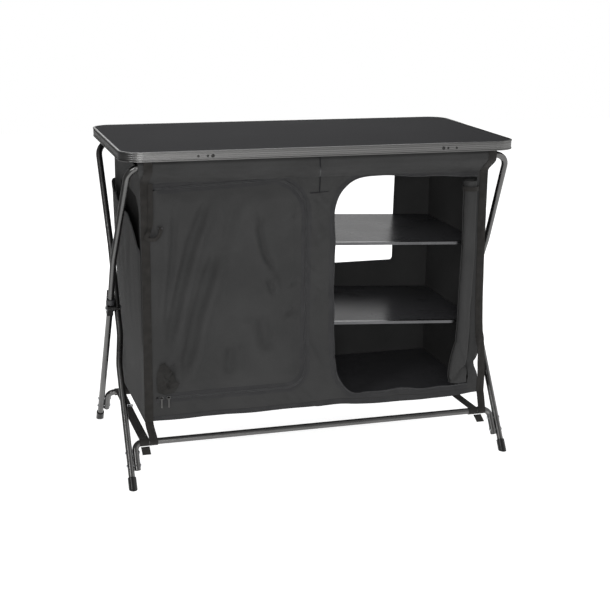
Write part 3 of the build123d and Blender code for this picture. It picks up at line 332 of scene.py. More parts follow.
def uneven(a, b, c):
    """Smooth noise at a place, between -1 and 1 and the same on every run."""
    return noise.noise(Vector((a, b, c)))


def smooth(value, low, high):
    """0 below low, 1 above high, and an even curve between."""
    share = min(max((value - low) / (high - low), 0.0), 1.0)
    return share * share * (3 - 2 * share)


def along(points, value):
    """The value between the two nearest of some (place, value) points."""
    for (start, low), (end, high) in zip(points, points[1:]):
        if value <= end:
            return low + (high - low) * min(max((value - start) / (end - start), 0), 1)
    return points[-1][1]


def run_lengths(line):
    """How far along a line each of its points lies."""
    lengths = [0.0]
    for a, b in zip(line, line[1:]):
        lengths.append(lengths[-1] + (Vector(b) - Vector(a)).length)
    return lengths


def arc_points(centre_x, centre_y, radius, first, sweep, steps):
    """Points of a round stretch, from its first angle over its sweep."""
    angles = [first + sweep * step / steps for step in range(steps + 1)]
    return [Vector((centre_x + radius * cos(angle), centre_y + radius * sin(angle))) for angle in angles]


def edge_fade(value, low, high, run):
    """0 at both ends of a span and 1 well inside it."""
    return smooth(value, low, low + run) * (1 - smooth(value, high - run, high))


def hill(value, middle, width):
    """1 at the middle, falling away evenly on both sides."""
    return exp(-(((value - middle) / width) ** 2))


def between_levels(z):
    """0 at each shelf level and 1 halfway between two of them."""
    for low, high in zip(levels, levels[1:]):
        if low <= z <= high:
            return sin(pi * (z - low) / (high - low)) ** 2
    return 0.0


def fold_at(x, z, points, width, depth, lean):
    """One fold along a line of points: a valley with a soft ridge on the side that lean names.

    The height is towards the viewer, in metres, and fades out at both ends of the line."""
    best = None
    total = sum(hypot(b[0] - a[0], b[1] - a[1]) for a, b in zip(points, points[1:]))
    walked = 0.0
    for a, b in zip(points, points[1:]):
        run_x, run_z = b[0] - a[0], b[1] - a[1]
        length = hypot(run_x, run_z)
        share = ((x - a[0]) * run_x + (z - a[1]) * run_z) / (length * length)
        share = min(max(share, 0.0), 1.0)
        off_x, off_z = x - a[0] - share * run_x, z - a[1] - share * run_z
        distance = hypot(off_x, off_z)
        side = 1.0 if run_x * off_z - run_z * off_x > 0 else -1.0
        if best is None or distance < best[0]:
            best = (distance, side, (walked + share * length) / total)
        walked += length
    distance, side, place = best
    if distance > 4.5 * width:
        return 0.0
    fade = max(smooth(place, -0.02, 0.22) * (1 - smooth(place, 0.78, 1.02)), 0.15)
    ridge = hill(distance, 1.9 * width, 1.25 * width) * (0.5 + side * lean)
    return depth * fade * (0.8 * ridge - exp(-((distance / width) ** 2)))


# folds of the left door and of the cloth round the doors: (x, z) points, width, depth and lean
door_folds = [
    ([(-0.282, 0.712), (-0.324, 0.598), (-0.358, 0.475), (-0.392, 0.312)], 0.0085, 0.0085, 0.4),
    (
        [(-0.264, 0.577), (-0.298, 0.467), (-0.317, 0.409), (-0.331, 0.331), (-0.362, 0.235)],
        0.0105,
        0.0090,
        0.4,
    ),
    ([(-0.152, 0.662), (-0.157, 0.613), (-0.142, 0.551), (-0.113, 0.505)], 0.0070, 0.0055, -0.3),
    ([(-0.134, 0.492), (-0.122, 0.450)], 0.0060, 0.0040, 0.3),
    ([(-0.152, 0.405), (-0.141, 0.336), (-0.119, 0.300)], 0.0140, 0.0060, -0.3),
    ([(-0.227, 0.330), (-0.237, 0.245)], 0.0100, 0.0045, 0.3),
    ([(-0.364, 0.690), (-0.375, 0.546), (-0.398, 0.350)], 0.0065, 0.0042, -0.3),
    ([(-0.057, 0.662), (-0.072, 0.640)], 0.0050, 0.0030, 0.0),
    ([(-0.052, 0.486), (-0.078, 0.470)], 0.0050, 0.0030, 0.0),
    ([(-0.062, 0.412), (-0.092, 0.392)], 0.0060, 0.0032, 0.0),
    ([(-0.200, 0.712), (-0.232, 0.640), (-0.246, 0.560)], 0.0110, 0.0035, 0.3),
    ([(-0.365, 0.300), (-0.392, 0.222)], 0.0080, 0.0055, 0.3),
]
strip_folds = [
    ([(-0.020, 0.624), (-0.003, 0.568)], 0.0060, 0.0026, 0.3),
    ([(0.012, 0.700), (-0.010, 0.640)], 0.0070, 0.0022, -0.3),
    ([(-0.028, 0.530), (-0.006, 0.500)], 0.0050, 0.0020, 0.0),
    ([(0.015, 0.470), (-0.010, 0.380)], 0.0080, 0.0022, 0.3),
    ([(-0.018, 0.330), (0.020, 0.250)], 0.0070, 0.0026, -0.3),
    ([(-0.085, 0.185), (-0.066, 0.162)], 0.0060, 0.0024, 0.0),
    ([(-0.045, 0.172), (-0.030, 0.150)], 0.0060, 0.0026, 0.0),
    ([(-0.200, 0.188), (-0.150, 0.158)], 0.0080, 0.0020, 0.3),
    ([(-0.330, 0.184), (-0.300, 0.158)], 0.0080, 0.0020, 0.3),
    ([(-0.110, 0.765), (-0.072, 0.728)], 0.0060, 0.0028, 0.3),
    ([(-0.065, 0.765), (-0.046, 0.716)], 0.0060, 0.0024, -0.3),
    ([(0.060, 0.766), (0.040, 0.712)], 0.0070, 0.0026, 0.3),
    ([(0.110, 0.768), (0.088, 0.744)], 0.0060, 0.0022, 0.3),
    ([(0.330, 0.768), (0.385, 0.745)], 0.0070, 0.0024, -0.3),
    ([(0.438, 0.640), (0.426, 0.560)], 0.0060, 0.0020, 0.3),
    ([(-0.300, 0.768), (-0.330, 0.742)], 0.0070, 0.0022, 0.3),
    ([(0.180, 0.152), (0.260, 0.160)], 0.0060, 0.0020, 0.3),
    ([(0.436, 0.315), (0.430, 0.262), (0.424, 0.222)], 0.0055, 0.0060, 0.4),
    ([(0.432, 0.222), (0.427, 0.175)], 0.0055, 0.0050, -0.3),
    ([(-0.018, 0.690), (0.016, 0.655)], 0.0045, 0.0030, 0.2),
    ([(0.020, 0.600), (-0.006, 0.575)], 0.0045, 0.0030, -0.2),
    ([(-0.014, 0.470), (0.018, 0.440)], 0.0045, 0.0030, 0.2),
]


def door_mask(x, z):
    """1 inside the left door and 0 from its edges outward, with an even rise between."""
    inside = smooth(x, -opening_hinge, -opening_hinge + 0.030)
    inside *= 1 - smooth(x, -opening_centre - 0.042, -opening_centre - 0.004)
    inside *= smooth(z, left_bottom, left_bottom + 0.045)
    inside *= 1 - smooth(z, opening_top - 0.055, opening_top - 0.012)
    return inside


def front_y(x, z):
    """Where the middle of the front cloth lies."""
    edge = smooth(z, cloth_bottom - 0.001, cloth_bottom + 0.03) * (1 - smooth(z, cloth_top - 0.02, cloth_top))
    height = 0.0008 + uneven(x * 7, 0.3, z * 5) * 0.0010
    for points, width, depth, lean in strip_folds:
        height += 1.7 * fold_at(x, z, points, width, depth, lean)
    middle_strip = smooth(x, -0.052, -0.030) * (1 - smooth(x, 0.022, 0.034))
    height += middle_strip * 0.0016 * uneven(x * 34 + z * 12, 9.0, z * 40)
    height += 0.0011 * uneven(x * 20 - z * 9, 2.0, z * 16 + x * 6)
    mask = door_mask(x, z)
    if mask <= 0:
        return front_middle - edge * max(height, -0.0004)
    swell = 0.0068 + 0.0020 * uneven(x * 5 + 4, 1.7, z * 3)
    for points, width, depth, lean in door_folds:
        swell += 1.75 * fold_at(x, z, points, 1.2 * width, depth, lean)
    height += mask * max(swell, -0.0020)
    return front_middle - max(edge * height, -0.0010)


# building cloth
def add_piece(name, made, material, body, replaced=()):
    """Makes a piece of a finished bmesh, on its body, in place of some nodes and with its material slot."""
    mesh = bpy.data.meshes.new(name)
    made.to_mesh(mesh)
    made.free()
    mesh.materials.append(material)
    piece = bpy.data.objects.new(name, mesh)
    bpy.context.scene.collection.objects.link(piece)
    if body is not None:
        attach(piece, body)
    if replaced:
        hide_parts(*replaced)
    return piece


def inside_polygon(points, polygon):
    """For each point, whether it is inside the polygon."""
    x, y = points[:, 0], points[:, 1]
    result = np.zeros(len(points), bool)
    previous = polygon[-1]
    for current in polygon:
        crosses = (current[1] > y) != (previous[1] > y)
        rise = previous[1] - current[1]
        if rise != 0:
            result ^= crosses & (x < (previous[0] - current[0]) * (y - current[1]) / rise + current[0])
        previous = current
    return result


def evenly(points, pitch, closed=True):
    """The same line with points at most a pitch apart."""
    result = []
    for a, b in zip(points, points[1:] + points[:1] if closed else points[1:]):
        count = max(1, round(hypot(b[0] - a[0], b[1] - a[1]) / pitch))
        for step in range(count):
            result.append((a[0] + (b[0] - a[0]) * step / count, a[1] + (b[1] - a[1]) * step / count))
    if not closed:
        result.append(tuple(points[-1]))
    return result


# rows of a triangle grid lie this share of its pitch apart
row_share = 0.87
corner_pitch = 0.004


class Cloth:
    """Collects layers of thin material and makes one piece of them."""

    def __init__(self):
        self.points = []
        self.uvs = []
        self.faces = []
        self.sharp = []
        self.cut_area = 0.0
        self.cut_sizes = []

    def layer(self, middles, uvs, faces, thickness):
        """Adds a sheet round a mid surface: both faces and the rim."""
        middles = np.array(middles, float)
        normals = np.zeros_like(middles)
        for face in faces:
            a, b, c = middles[face[0]], middles[face[1]], middles[face[2]]
            normal = np.cross(b - a, c - a)
            if len(face) == 4:
                normal = np.cross(c - a, middles[face[3]] - b)
            for index in face:
                normals[index] += normal
        lengths = np.linalg.norm(normals, axis=1)
        lengths[lengths == 0] = 1
        normals /= lengths[:, None]
        flat = np.array(uvs, float)
        self.cut_sizes.append(flat.max(0) - flat.min(0))
        for face in faces:
            corners = flat[face]
            pairs = zip(corners, np.roll(corners, -1, axis=0))
            self.cut_area += abs(sum(a[0] * b[1] - b[0] * a[1] for a, b in pairs) / 2)
        start = len(self.points)
        count = len(middles)
        self.points += list(middles + normals * thickness / 2)
        self.points += list(middles - normals * thickness / 2)
        self.uvs += list(uvs) + list(uvs)
        edges = {}
        for face in faces:
            self.faces.append([start + index for index in face])
            self.faces.append([start + count + index for index in reversed(face)])
            for a, b in zip(face, face[1:] + face[:1]):
                edges[(a, b)] = edges.get((a, b), 0) + 1
        for a, b in list(edges):
            if (b, a) not in edges:
                self.faces.append([start + b, start + a, start + count + a, start + count + b])
                self.sharp += [(start + a, start + b), (start + count + a, start + count + b)]

    def panel(self, outline, holes, pitch, place, thickness=cloth_thickness):
        """Adds a sheet cut to an outline with holes; place gives each flat point its spot."""
        rings = [evenly(outline, pitch)] + [evenly(hole, pitch) for hole in holes]
        points, edges = [], []
        for ring in rings:
            base = len(points)
            points += ring
            edges += [(base + step, base + (step + 1) % len(ring)) for step in range(len(ring))]
        outline_points = np.array(points)
        low, high = outline_points.min(0), outline_points.max(0)
        grid = []
        columns = int((high[0] - low[0]) / pitch)
        rows = int((high[1] - low[1]) / (row_share * pitch))
        for row in range(1, rows + 1):
            shift = 0.5 * pitch * (row % 2)
            height = low[1] + row * row_share * pitch
            grid += [(low[0] + shift + column * pitch, height) for column in range(columns + 1)]
        grid = np.array(grid)
        keep = inside_polygon(grid, rings[0])
        for hole in rings[1:]:
            keep &= ~inside_polygon(grid, hole)
        grid = grid[keep]
        clear = np.ones(len(grid), bool)
        for chunk in range(0, len(grid), 500):
            part = grid[chunk : chunk + 500]
            gaps = np.linalg.norm(part[:, None, :] - outline_points[None, :, :], axis=2).min(1)
            clear[chunk : chunk + 500] = gaps > 0.45 * pitch
        points += [tuple(point) for point in grid[clear]]
        flat = [Vector(point) for point in points]
        vertices, _, triangles, *_ = delaunay_2d_cdt(flat, edges, [], 0, 1e-7)
        spots = np.array([tuple(vertex) for vertex in vertices])
        triangles = [list(triangle) for triangle in triangles]
        centres = np.array([spots[triangle].mean(0) for triangle in triangles])
        keep = inside_polygon(centres, rings[0])
        for hole in rings[1:]:
            keep &= ~inside_polygon(centres, hole)
        triangles = [triangle for triangle, kept in zip(triangles, keep) if kept]
        self.layer([place(u, v) for u, v in spots], spots, triangles, thickness)

    def grid(self, across, along, place, flat, thickness=cloth_thickness):
        """Adds a sheet of rows and columns; place and flat take the two shares, from 0 to 1."""
        shares = [(column / across, row / along) for row in range(along + 1) for column in range(across + 1)]
        faces = []
        for row in range(along):
            for column in range(across):
                a = row * (across + 1) + column
                faces.append([a, a + 1, a + across + 2, a + across + 1])
        self.layer([place(u, v) for u, v in shares], [flat(u, v) for u, v in shares], faces, thickness)

    def strip(self, across, line, x_at, width, thickness):
        """Adds a tape along a line of (y, z) points; x_at gives its middle at the number of a point."""
        lengths = run_lengths(line)
        last = len(line) - 1

        def place(u, v):
            index = round(v * last)
            return Vector((x_at(index) + (u - 0.5) * width, line[index].x, line[index].y))

        self.grid(across, last, place, lambda u, v: (u * width, lengths[round(v * last)]), thickness)

    def make(self, name, material, body, replaced=()):
        """Turns what was collected into a piece on a body."""
        made = bmesh.new()
        vertices = [made.verts.new(point) for point in self.points]
        uv_layer = made.loops.layers.uv.new("UVMap")
        for face in self.faces:
            try:
                new_face = made.faces.new([vertices[index] for index in face])
            except ValueError:
                continue
            new_face.smooth = True
            for loop, index in zip(new_face.loops, face):
                loop[uv_layer].uv = self.uvs[index]
        made.edges.ensure_lookup_table()
        for a, b in self.sharp:
            edge = made.edges.get((vertices[a], vertices[b]))
            if edge is not None:
                edge.smooth = False
        return add_piece(name, made, material, body, replaced)


def declare(made):
    """Works out a piece's size as a sheet from the flat cut that its UV holds; nothing is kept or returned.
    """
    width = max(size[0] for size in made.cut_sizes)
    length = max(size[1] for size in made.cut_sizes)
    if len(made.cut_sizes) > 1 or made.cut_area < 0.31 * width * length or width < 0.0101:
        width = max(width, 0.0101)
    else:
        area = min(made.cut_area, width * length)


def rod(name, lines, radius, material, body, sides=12, replaced=()):
    """Round wire or a moulded rod along each line; radius takes the share along the line."""
    made = bmesh.new()
    angles = [2 * pi * k / sides for k in range(sides)]
    for line in lines:
        points = [Vector(point) for point in line]
        count = len(points)
        rings = []
        side = None
        for index, point in enumerate(points):
            before = points[max(index - 1, 0)]
            after = points[min(index + 1, count - 1)]
            run = (after - before).normalized()
            if side is None:
                side = run.cross(Vector((0, 0, 1)))
                if side.length < 0.1:
                    side = run.cross(Vector((1, 0, 0)))
            side = (side - run * side.dot(run)).normalized()
            other = run.cross(side)
            size = radius(index / (count - 1))
            outward = [side * cos(turn) + other * sin(turn) for turn in angles]
            rings.append([made.verts.new(point + direction * size) for direction in outward])
        for first, second in zip(rings, rings[1:]):
            for k in range(sides):
                made.faces.new([first[k], first[(k + 1) % sides], second[(k + 1) % sides], second[k]])
        made.faces.new(list(reversed(rings[0])))
        made.faces.new(rings[-1])
    for face in made.faces:
        face.smooth = len(face.verts) == 4
    bmesh.ops.recalc_face_normals(made, faces=made.faces)
    return add_piece(name, made, material, body, replaced)


def arc_corner(a, b, c, radius):
    """Points of the rounded corner at b between a and c."""
    if radius <= 0:
        return [b]
    to_a = Vector((a[0] - b[0], a[1] - b[1])).normalized()
    to_c = Vector((c[0] - b[0], c[1] - b[1])).normalized()
    half = to_a.angle(to_c) / 2
    run = radius / (sin(half) / cos(half))
    middle = Vector(b) + (to_a + to_c).normalized() * (radius / sin(half))
    first = Vector(b) + to_a * run - middle
    last = Vector(b) + to_c * run - middle
    sweep = first.angle_signed(last)
    count = max(3, round(abs(sweep) * radius / corner_pitch))
    start = atan2(first.y, first.x)
    angles = [start - sweep * step / count for step in range(count + 1)]
    return [(middle.x + radius * cos(angle), middle.y + radius * sin(angle)) for angle in angles]


def rounded(low, high, radius):
    """A rectangle with round corners, between two of its corners."""
    corners = [(low[0], low[1]), (high[0], low[1]), (high[0], high[1]), (low[0], high[1])]
    outline = []
    for index, corner in enumerate(corners):
        outline += arc_corner(corners[index - 1], corner, corners[(index + 1) % 4], radius)
    return outline


def opening(side, bottom, bottom_radius, grow):
    """The outline of a door opening, as in the solids; grow moves its zip edge out."""
    hinge = side * opening_hinge
    centre = side * (opening_centre - grow)
    corners = [
        (hinge, bottom - grow, 0),
        (hinge, opening_top - opening_dip + grow, 0),
        (centre, opening_top + grow, top_radius + grow),
        (centre, bottom - grow, bottom_radius + grow),
    ]
    outline = []
    for index, corner in enumerate(corners):
        before, after = corners[index - 1][:2], corners[(index + 1) % 4][:2]
        outline += arc_corner(before, corner[:2], after, corner[2])
    return outline


def zip_line(side, bottom, bottom_radius):
    """The zip's path round an opening, from the hinge at the top to the hinge at the bottom."""
    outline = opening(side, bottom, bottom_radius, 0.0)
    return evenly(outline[1:] + [outline[0]], 0.005, closed=False)


# (height, how far the right front edge is drawn in there), above the bottom corner
edge_pulls = [
    (0.170, 0.0),
    (0.192, 0.0020),
    (0.212, 0.0100),
    (0.228, 0.0148),
    (0.243, 0.0085),
    (0.258, 0.0020),
    (0.285, 0.0),
]


def front_spot(x, z):
    """Where a point of the flat front cut comes to hang: slack hems and a drawn-in doorway corner."""
    hem = 1 - smooth(z, cloth_bottom, cloth_bottom + 0.028)
    wave = 0.0030 * uneven(x * 6.5, 4.0, 0) + 0.0012 * sin(x * 31 + 0.6)
    sunk = 0.0062 * smooth(x, 0.04, 0.17) * (1 - smooth(x, 0.33, 0.44)) + 0.0014 * smooth(x, -0.008, 0.002)
    move_z = -hem * (sunk + wave) * edge_fade(x, -half_width, half_width, 0.05)
    corner = exp(-(((x - 0.052) / 0.052) ** 2) - ((z - 0.212) / 0.062) ** 2)
    move_x = 0.0165 * corner
    move_z += 0.0120 * corner
    sill = hill(z, 0.170, 0.022) * edge_fade(x, 0.060, 0.425, 0.06)
    move_z += sill * (0.0035 * sin(x * 27 + 2.2) + 0.0020 * sin(x * 61))
    zip_side = hill(x, 0.036, 0.016) * edge_fade(z, 0.22, 0.74, 0.08)
    bowed = 0.0045 * (1 - smooth(z, 0.55, 0.62))
    move_x += zip_side * (bowed + 0.0014 * sin(z * 21 + 1.0) + 0.0008 * sin(z * 67))
    lintel = hill(z, 0.736, 0.012) * edge_fade(x, 0.08, 0.42, 0.05)
    move_z += lintel * 0.0018 * sin(x * 44)
    move_x -= along(edge_pulls, z) * smooth(x, 0.402, half_width)
    return x + move_x, z + move_z


def on_front(u, v, forward=0.0):
    """The spot of a flat point on the hanging front, so far forward of its middle."""
    x, z = front_spot(u, v)
    return Vector((x, front_y(x, z) - forward, z))


# front cloth and doors
edge_gap = 0.0033
panel_outline = [(-half_width, cloth_bottom), (half_width, cloth_bottom)]
panel_outline += [(half_width, cloth_top), (-half_width, cloth_top)]
left_cut = opening(-1, left_bottom, left_radius, edge_gap)
right_cut = opening(1, right_bottom, right_radius, edge_gap)
front = Cloth()
front.panel(panel_outline, [left_cut, right_cut], 0.0068, on_front)
front_piece = front.make("front_cloth", cloth, "cupboard", ["front_panel"])

door = Cloth()
door.panel(opening(-1, left_bottom, left_radius, -edge_gap), [], 0.0060, on_front)
door_piece = door.make("left_door_cloth", door_cloth, "left_door", ["left_door_panel"])


def follow_zip(target, line, inner, outer, rise, thickness):
    """Adds a band beside the zip's path, from inner to outer off it; rise takes the share across it."""
    flat = [Vector(point) for point in line]
    lengths = run_lengths(flat)
    last = len(flat) - 1

    def outward(index):
        run = (flat[min(index + 1, last)] - flat[max(index - 1, 0)]).normalized()
        turn = Vector((-run.y, run.x))
        middle = Vector(((flat[0].x + flat[last].x) / 2 * 0.55, 0.46))
        return turn if turn.dot(flat[index] - middle) > 0 else -turn

    def place(u, v):
        index = round(v * last)
        spot = flat[index] + outward(index) * (inner + (outer - inner) * u)
        return on_front(spot.x, spot.y, rise(u))

    target.grid(4, last, place, lambda u, v: (u * (outer - inner), lengths[round(v * last)]), thickness)


def coil_rise(u):
    """The rounded section of a zip half."""
    return 0.0006 * sin(pi * u) + 0.0003


left_path = zip_line(-1, left_bottom, left_radius)
right_path = zip_line(1, right_bottom, right_radius)
for label, path, inner, outer, body in (
    ("left_zip_fixed", left_path, 0.0001, 0.0031, "cupboard"),
    ("left_zip_door", left_path[1:-1], -0.0031, -0.0001, "left_door"),
    ("right_zip_fixed", right_path, 0.0001, 0.0031, "cupboard"),
):
    coil = Cloth()
    follow_zip(coil, path, inner, outer, coil_rise, 0.0019)
    coil.make(label + "_coil", zip_coil, body, [label + "_half"])

# camera
azimuth, elevation, tilt = radians(-17.21), radians(15.49), radians(0.82)
back = Vector((sin(azimuth) * cos(elevation), -cos(azimuth) * cos(elevation), sin(elevation)))
right = Vector((cos(azimuth), sin(azimuth), 0))
up = back.cross(right)
right, up = right * cos(tilt) + up * sin(tilt), up * cos(tilt) - right * sin(tilt)
camera_place = Vector((-0.9548, -3.1420, 1.2743))
camera_data = bpy.data.cameras.new("camera")
camera_data.lens = 75.69
camera_data.sensor_width = 36
camera_data.clip_end = 60
camera = bpy.data.objects.new("camera", camera_data)
bpy.context.scene.collection.objects.link(camera)
turned = Matrix((right, up, back)).transposed().to_4x4()
turned.translation = camera_place
camera.matrix_world = turned
bpy.context.scene.camera = camera
bpy.context.scene.view_settings.view_transform = "Standard"

# studio: a pale floor that lies mostly to the right, so that the left side stays in less light
floor_size, floor_shift = 6, 4.95
floor_mesh = bmesh.new()
bmesh.ops.create_grid(floor_mesh, x_segments=2, y_segments=2, size=floor_size)
bmesh.ops.translate(floor_mesh, vec=(floor_shift, 0, 0), verts=floor_mesh.verts)
floor_material, floor_tree, floor_shader, floor_spot, _ = new_material("studio_floor")
floor_colour = ramp(floor_tree, noise_of(floor_tree, floor_spot, 3.0), grey(0.90), grey(0.93))
floor_tree.links.new(floor_colour, floor_shader.inputs["Base Color"])
floor_shader.inputs["Roughness"].default_value = 0.9
floor_shader.inputs["Emission Color"].default_value = (1, 1, 1, 1)
floor_shader.inputs["Emission Strength"].default_value = 0.76
floor = add_piece("studio_floor", floor_mesh, floor_material, None)

# the world: white to the camera, soft to the cloth, and for metal brightest ahead to the right
world = bpy.data.worlds.new("studio")
world.use_nodes = True
bpy.context.scene.world = world
tree = world.node_tree
tree.nodes.clear()


def background(brightness):
    """A background of one grey, with its strength to be set or linked."""
    node = tree.nodes.new("ShaderNodeBackground")
    node.inputs["Color"].default_value = (*grey(brightness), 1)
    return node


def mixed(share, first, second):
    """The first shader where share is 0 and the second where it is 1."""
    return node_of(tree, "ShaderNodeMixShader", "Shader", {"Fac": share, 1: first, 2: second}, {})


white, soft, mirrored = background(1.0), background(1.0), background(0.8)
white.inputs["Strength"].default_value = 1.0
soft.inputs["Strength"].default_value = 0.45
rays = tree.nodes.new("ShaderNodeLightPath").outputs
seen = combine(tree, "MAXIMUM", rays["Is Camera Ray"], rays["Is Transmission Ray"])
direction = tree.nodes.new("ShaderNodeTexCoord").outputs["Generated"]
direction_x = node_of(tree, "ShaderNodeSeparateXYZ", "X", {"Vector": direction}, {})
direction_y = node_of(tree, "ShaderNodeSeparateXYZ", "Y", {"Vector": direction}, {})
rear_glow = span(tree, direction_y, 0.20, 0.275, -0.25, 0.55)
in_front = span(tree, direction_y, 1.0, 0.0, -0.20, 0.45)
to_right = span(tree, direction_x, 0.0, 1.6, 0.20, 0.80)
mirrored_light = combine(tree, "ADD", rear_glow, combine(tree, "MULTIPLY", in_front, to_right))
tree.links.new(mirrored_light, mirrored.inputs["Strength"])
lit = mixed(rays["Is Glossy Ray"], mixed(seen, soft.outputs[0], white.outputs[0]), mirrored.outputs[0])
tree.links.new(lit, tree.nodes.new("ShaderNodeOutputWorld").inputs["Surface"])


def area_light(name, place, target, size, power):
    """A rectangular light that points at a target."""
    data = bpy.data.lights.new(name, "AREA")
    data.shape = "RECTANGLE"
    data.size, data.size_y = size
    data.energy = power
    light = bpy.data.objects.new(name, data)
    light.location = place
    light.rotation_euler = (Vector(target) - Vector(place)).to_track_quat("-Z", "Y").to_euler()
    bpy.context.scene.collection.objects.link(light)


area_light("key", (-2.9, -2.2, 1.9), (0, 0, 0.4), (0.7, 1.1), 24)
area_light("fill", (-0.75, -3.5, 1.05), (0.1, 0, 0.4), (1.2, 1.0), 46)
area_light("rear", (0.5, 3.0, 1.8), (0, 0, 0.5), (2.4, 1.6), 18)

# seams of the front
tape_inner, tape_outer, tape_thickness = 0.0034, 0.0125, 0.0004
hem_reach = 0.4245


def tape_rise(_):
    """The even height of a seam tape on the front cloth."""
    return 0.0007


def front_band(target, low, high):
    """Adds a narrow tape on the front cloth, between two corners given as (x, z)."""
    width, height = high[0] - low[0], high[1] - low[1]
    target.grid(
        max(2, round(width / 0.008)),
        max(2, round(height / 0.006)),
        lambda u, v: on_front(low[0] + u * width, low[1] + v * height, 0.0010),
        lambda u, v: (low[0] + u * width, low[1] + v * height),
        0.0006,
    )


tapes = Cloth()
follow_zip(tapes, left_path, tape_inner, tape_outer, tape_rise, tape_thickness)
follow_zip(tapes, right_path, tape_inner, tape_outer, tape_rise, tape_thickness)
fixed_tapes = tapes.make("zip_seam_tapes", stitched, "cupboard")
door_tape = Cloth()
follow_zip(door_tape, left_path[2:-2], -tape_outer, -tape_inner - 0.0002, tape_rise, tape_thickness)
door_tape_piece = door_tape.make("door_seam_tape", stitched, "left_door")
declare(tapes)
declare(door_tape)

hems = Cloth()
front_band(hems, (-hem_reach, cloth_bottom + 0.0006), (hem_reach, cloth_bottom + 0.0126))
front_band(hems, (-hem_reach, cloth_top - 0.0135), (hem_reach, cloth_top - 0.0006))
hem_piece = hems.make("front_hems", stitched, "cupboard")
declare(hems)

# the front panel's top band, in front of the bar and its hooks
edging_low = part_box("table_edging")[0]
band_top, band_turn, band_foot = edging_low[2] - 0.0002, 0.7742, 0.7380
band_face = edging_low[1] + 0.0016
band_left, band_width = -0.4525, 0.8940


def band_ease(z):
    """How far the band has come back to the front cloth, from 0 to 1."""
    back = min(max((band_turn - z) / (band_turn - band_foot), 0), 1)
    return 0.45 * back + 0.55 * back * back * (3 - 2 * back)


def band_y(x, z):
    """Where the band lies without its creases; its ends lie further back."""
    foot = front_y(min(max(x, -half_width), half_width), band_foot) - 0.0006
    face = band_face + 0.0082 * smooth(abs(x), 0.345, 0.395)
    return face + (foot - face) * band_ease(z)


def band_place(u, v):
    """v runs from the table's edging down past the hooks, then back to the front cloth."""
    z = band_top + (band_foot - band_top) * v
    ease = band_ease(z)
    first_x, last_x = -0.4600 + 0.0150 * ease, 0.4385 + 0.0065 * ease
    x = first_x + u * (last_x - first_x)
    y = band_y(x, z)
    crease = 0.0038 * sin(x * 34 + z * 60 + 2.5 * uneven(x * 3, 0, 2)) ** 3
    crease += 0.0040 * uneven(x * 11 + z * 30, 6.0, z * 22)
    y += 0.0055 * (1 - smooth(v, 0.03, 0.12))
    loose = smooth(v, 0.30, 0.62) * (1 - smooth(v, 0.90, 1.0))
    return Vector((x, y - loose * (0.0012 + crease), z))


band = Cloth()
band.grid(150, 22, band_place, lambda u, v: (u * 0.900, v * 0.085), 0.0008)
band_piece = band.make("front_top_band_cloth", cloth, "cupboard")
declare(band)

# the seam that joins the two halves of the front, from the table down to its bar tack, drawn as a near-black
# strip: painted shade of the seam's groove
seam_top, seam_foot, seam_width = band_top - 0.0010, 0.6990, 0.0034
tack_left, tack_width, tack_height = -0.028, 0.048, 0.0024


def seam_place(u, v):
    """v runs down the seam, over the band and then over the front cloth."""
    z = seam_top + (seam_foot - seam_top) * v
    x = -0.0035 - 0.0170 * (1 - band_ease(z)) + (u - 0.5) * seam_width + 0.0006 * sin(z * 70)
    over = band_place((x - band_left) / band_width, min((band_top - z) / (band_top - band_foot), 1.0)).y
    under = front_y(x, z) - 0.0006
    near = smooth(z, band_foot - 0.003, band_foot + 0.001)
    return Vector((x, under + (over - under) * near - 0.0009, z))


def tack_place(u, v):
    """The bar tack across the foot of the seam, which rises a little to the right."""
    z = seam_foot - tack_height / 2 + tack_height * v + 0.0022 * u
    return on_front(tack_left + tack_width * u, z, 0.0012)


seam = Cloth()
seam.grid(2, 60, seam_place, lambda u, v: (u * seam_width, v * 0.115), 0.0005)
seam.grid(12, 2, tack_place, lambda u, v: (u * tack_width, v * tack_height), 0.0005)
seam_piece = seam.make("front_centre_seam", seam_painted_shade, "cupboard")
declare(seam)
declare(front)
declare(door)

# side walls and their pockets
wall_front, wall_back = front_high[1] + 0.0002, rear_low[1] - 0.0002
wall_depth = wall_back - wall_front
shade_patch_width, shade_patch_height = 0.292, 0.110
hem_width = 0.012

# (y, height) of the pocket's sagging mouth
mouth = [(-0.171, 0.572), (-0.150, 0.606), (-0.128, 0.633), (-0.080, 0.651)]
mouth += [(0.0, 0.660), (0.10, 0.676), (0.2, 0.6892)]

# (y, height) up to which the painted shade shows behind the open mouth: a dark cloth patch on the wall
# standing in for the shadow inside the pocket
shade_patch_top = [(-0.166, 0.590), (-0.156, 0.612), (-0.146, 0.650), (-0.111, 0.673)]
shade_patch_top += [(-0.088, 0.692), (0.0, 0.698), (0.13, 0.697)]


def wall_spot(side, y, z):
    """Where a side wall hangs: drawn in between the shelves, and at the right front by the slack corner."""
    bow = between_levels(z) * edge_fade(y, wall_front, wall_back, 0.07)
    bow *= 0.0042 + 0.0022 * uneven(side * 3, y * 6, z * 5)
    drawn = along(edge_pulls, z) * hill(y, wall_front, 0.085) if side > 0 else 0.0
    return Vector((side * (half_width - 0.00075 - max(bow, 0) - drawn), y, z))


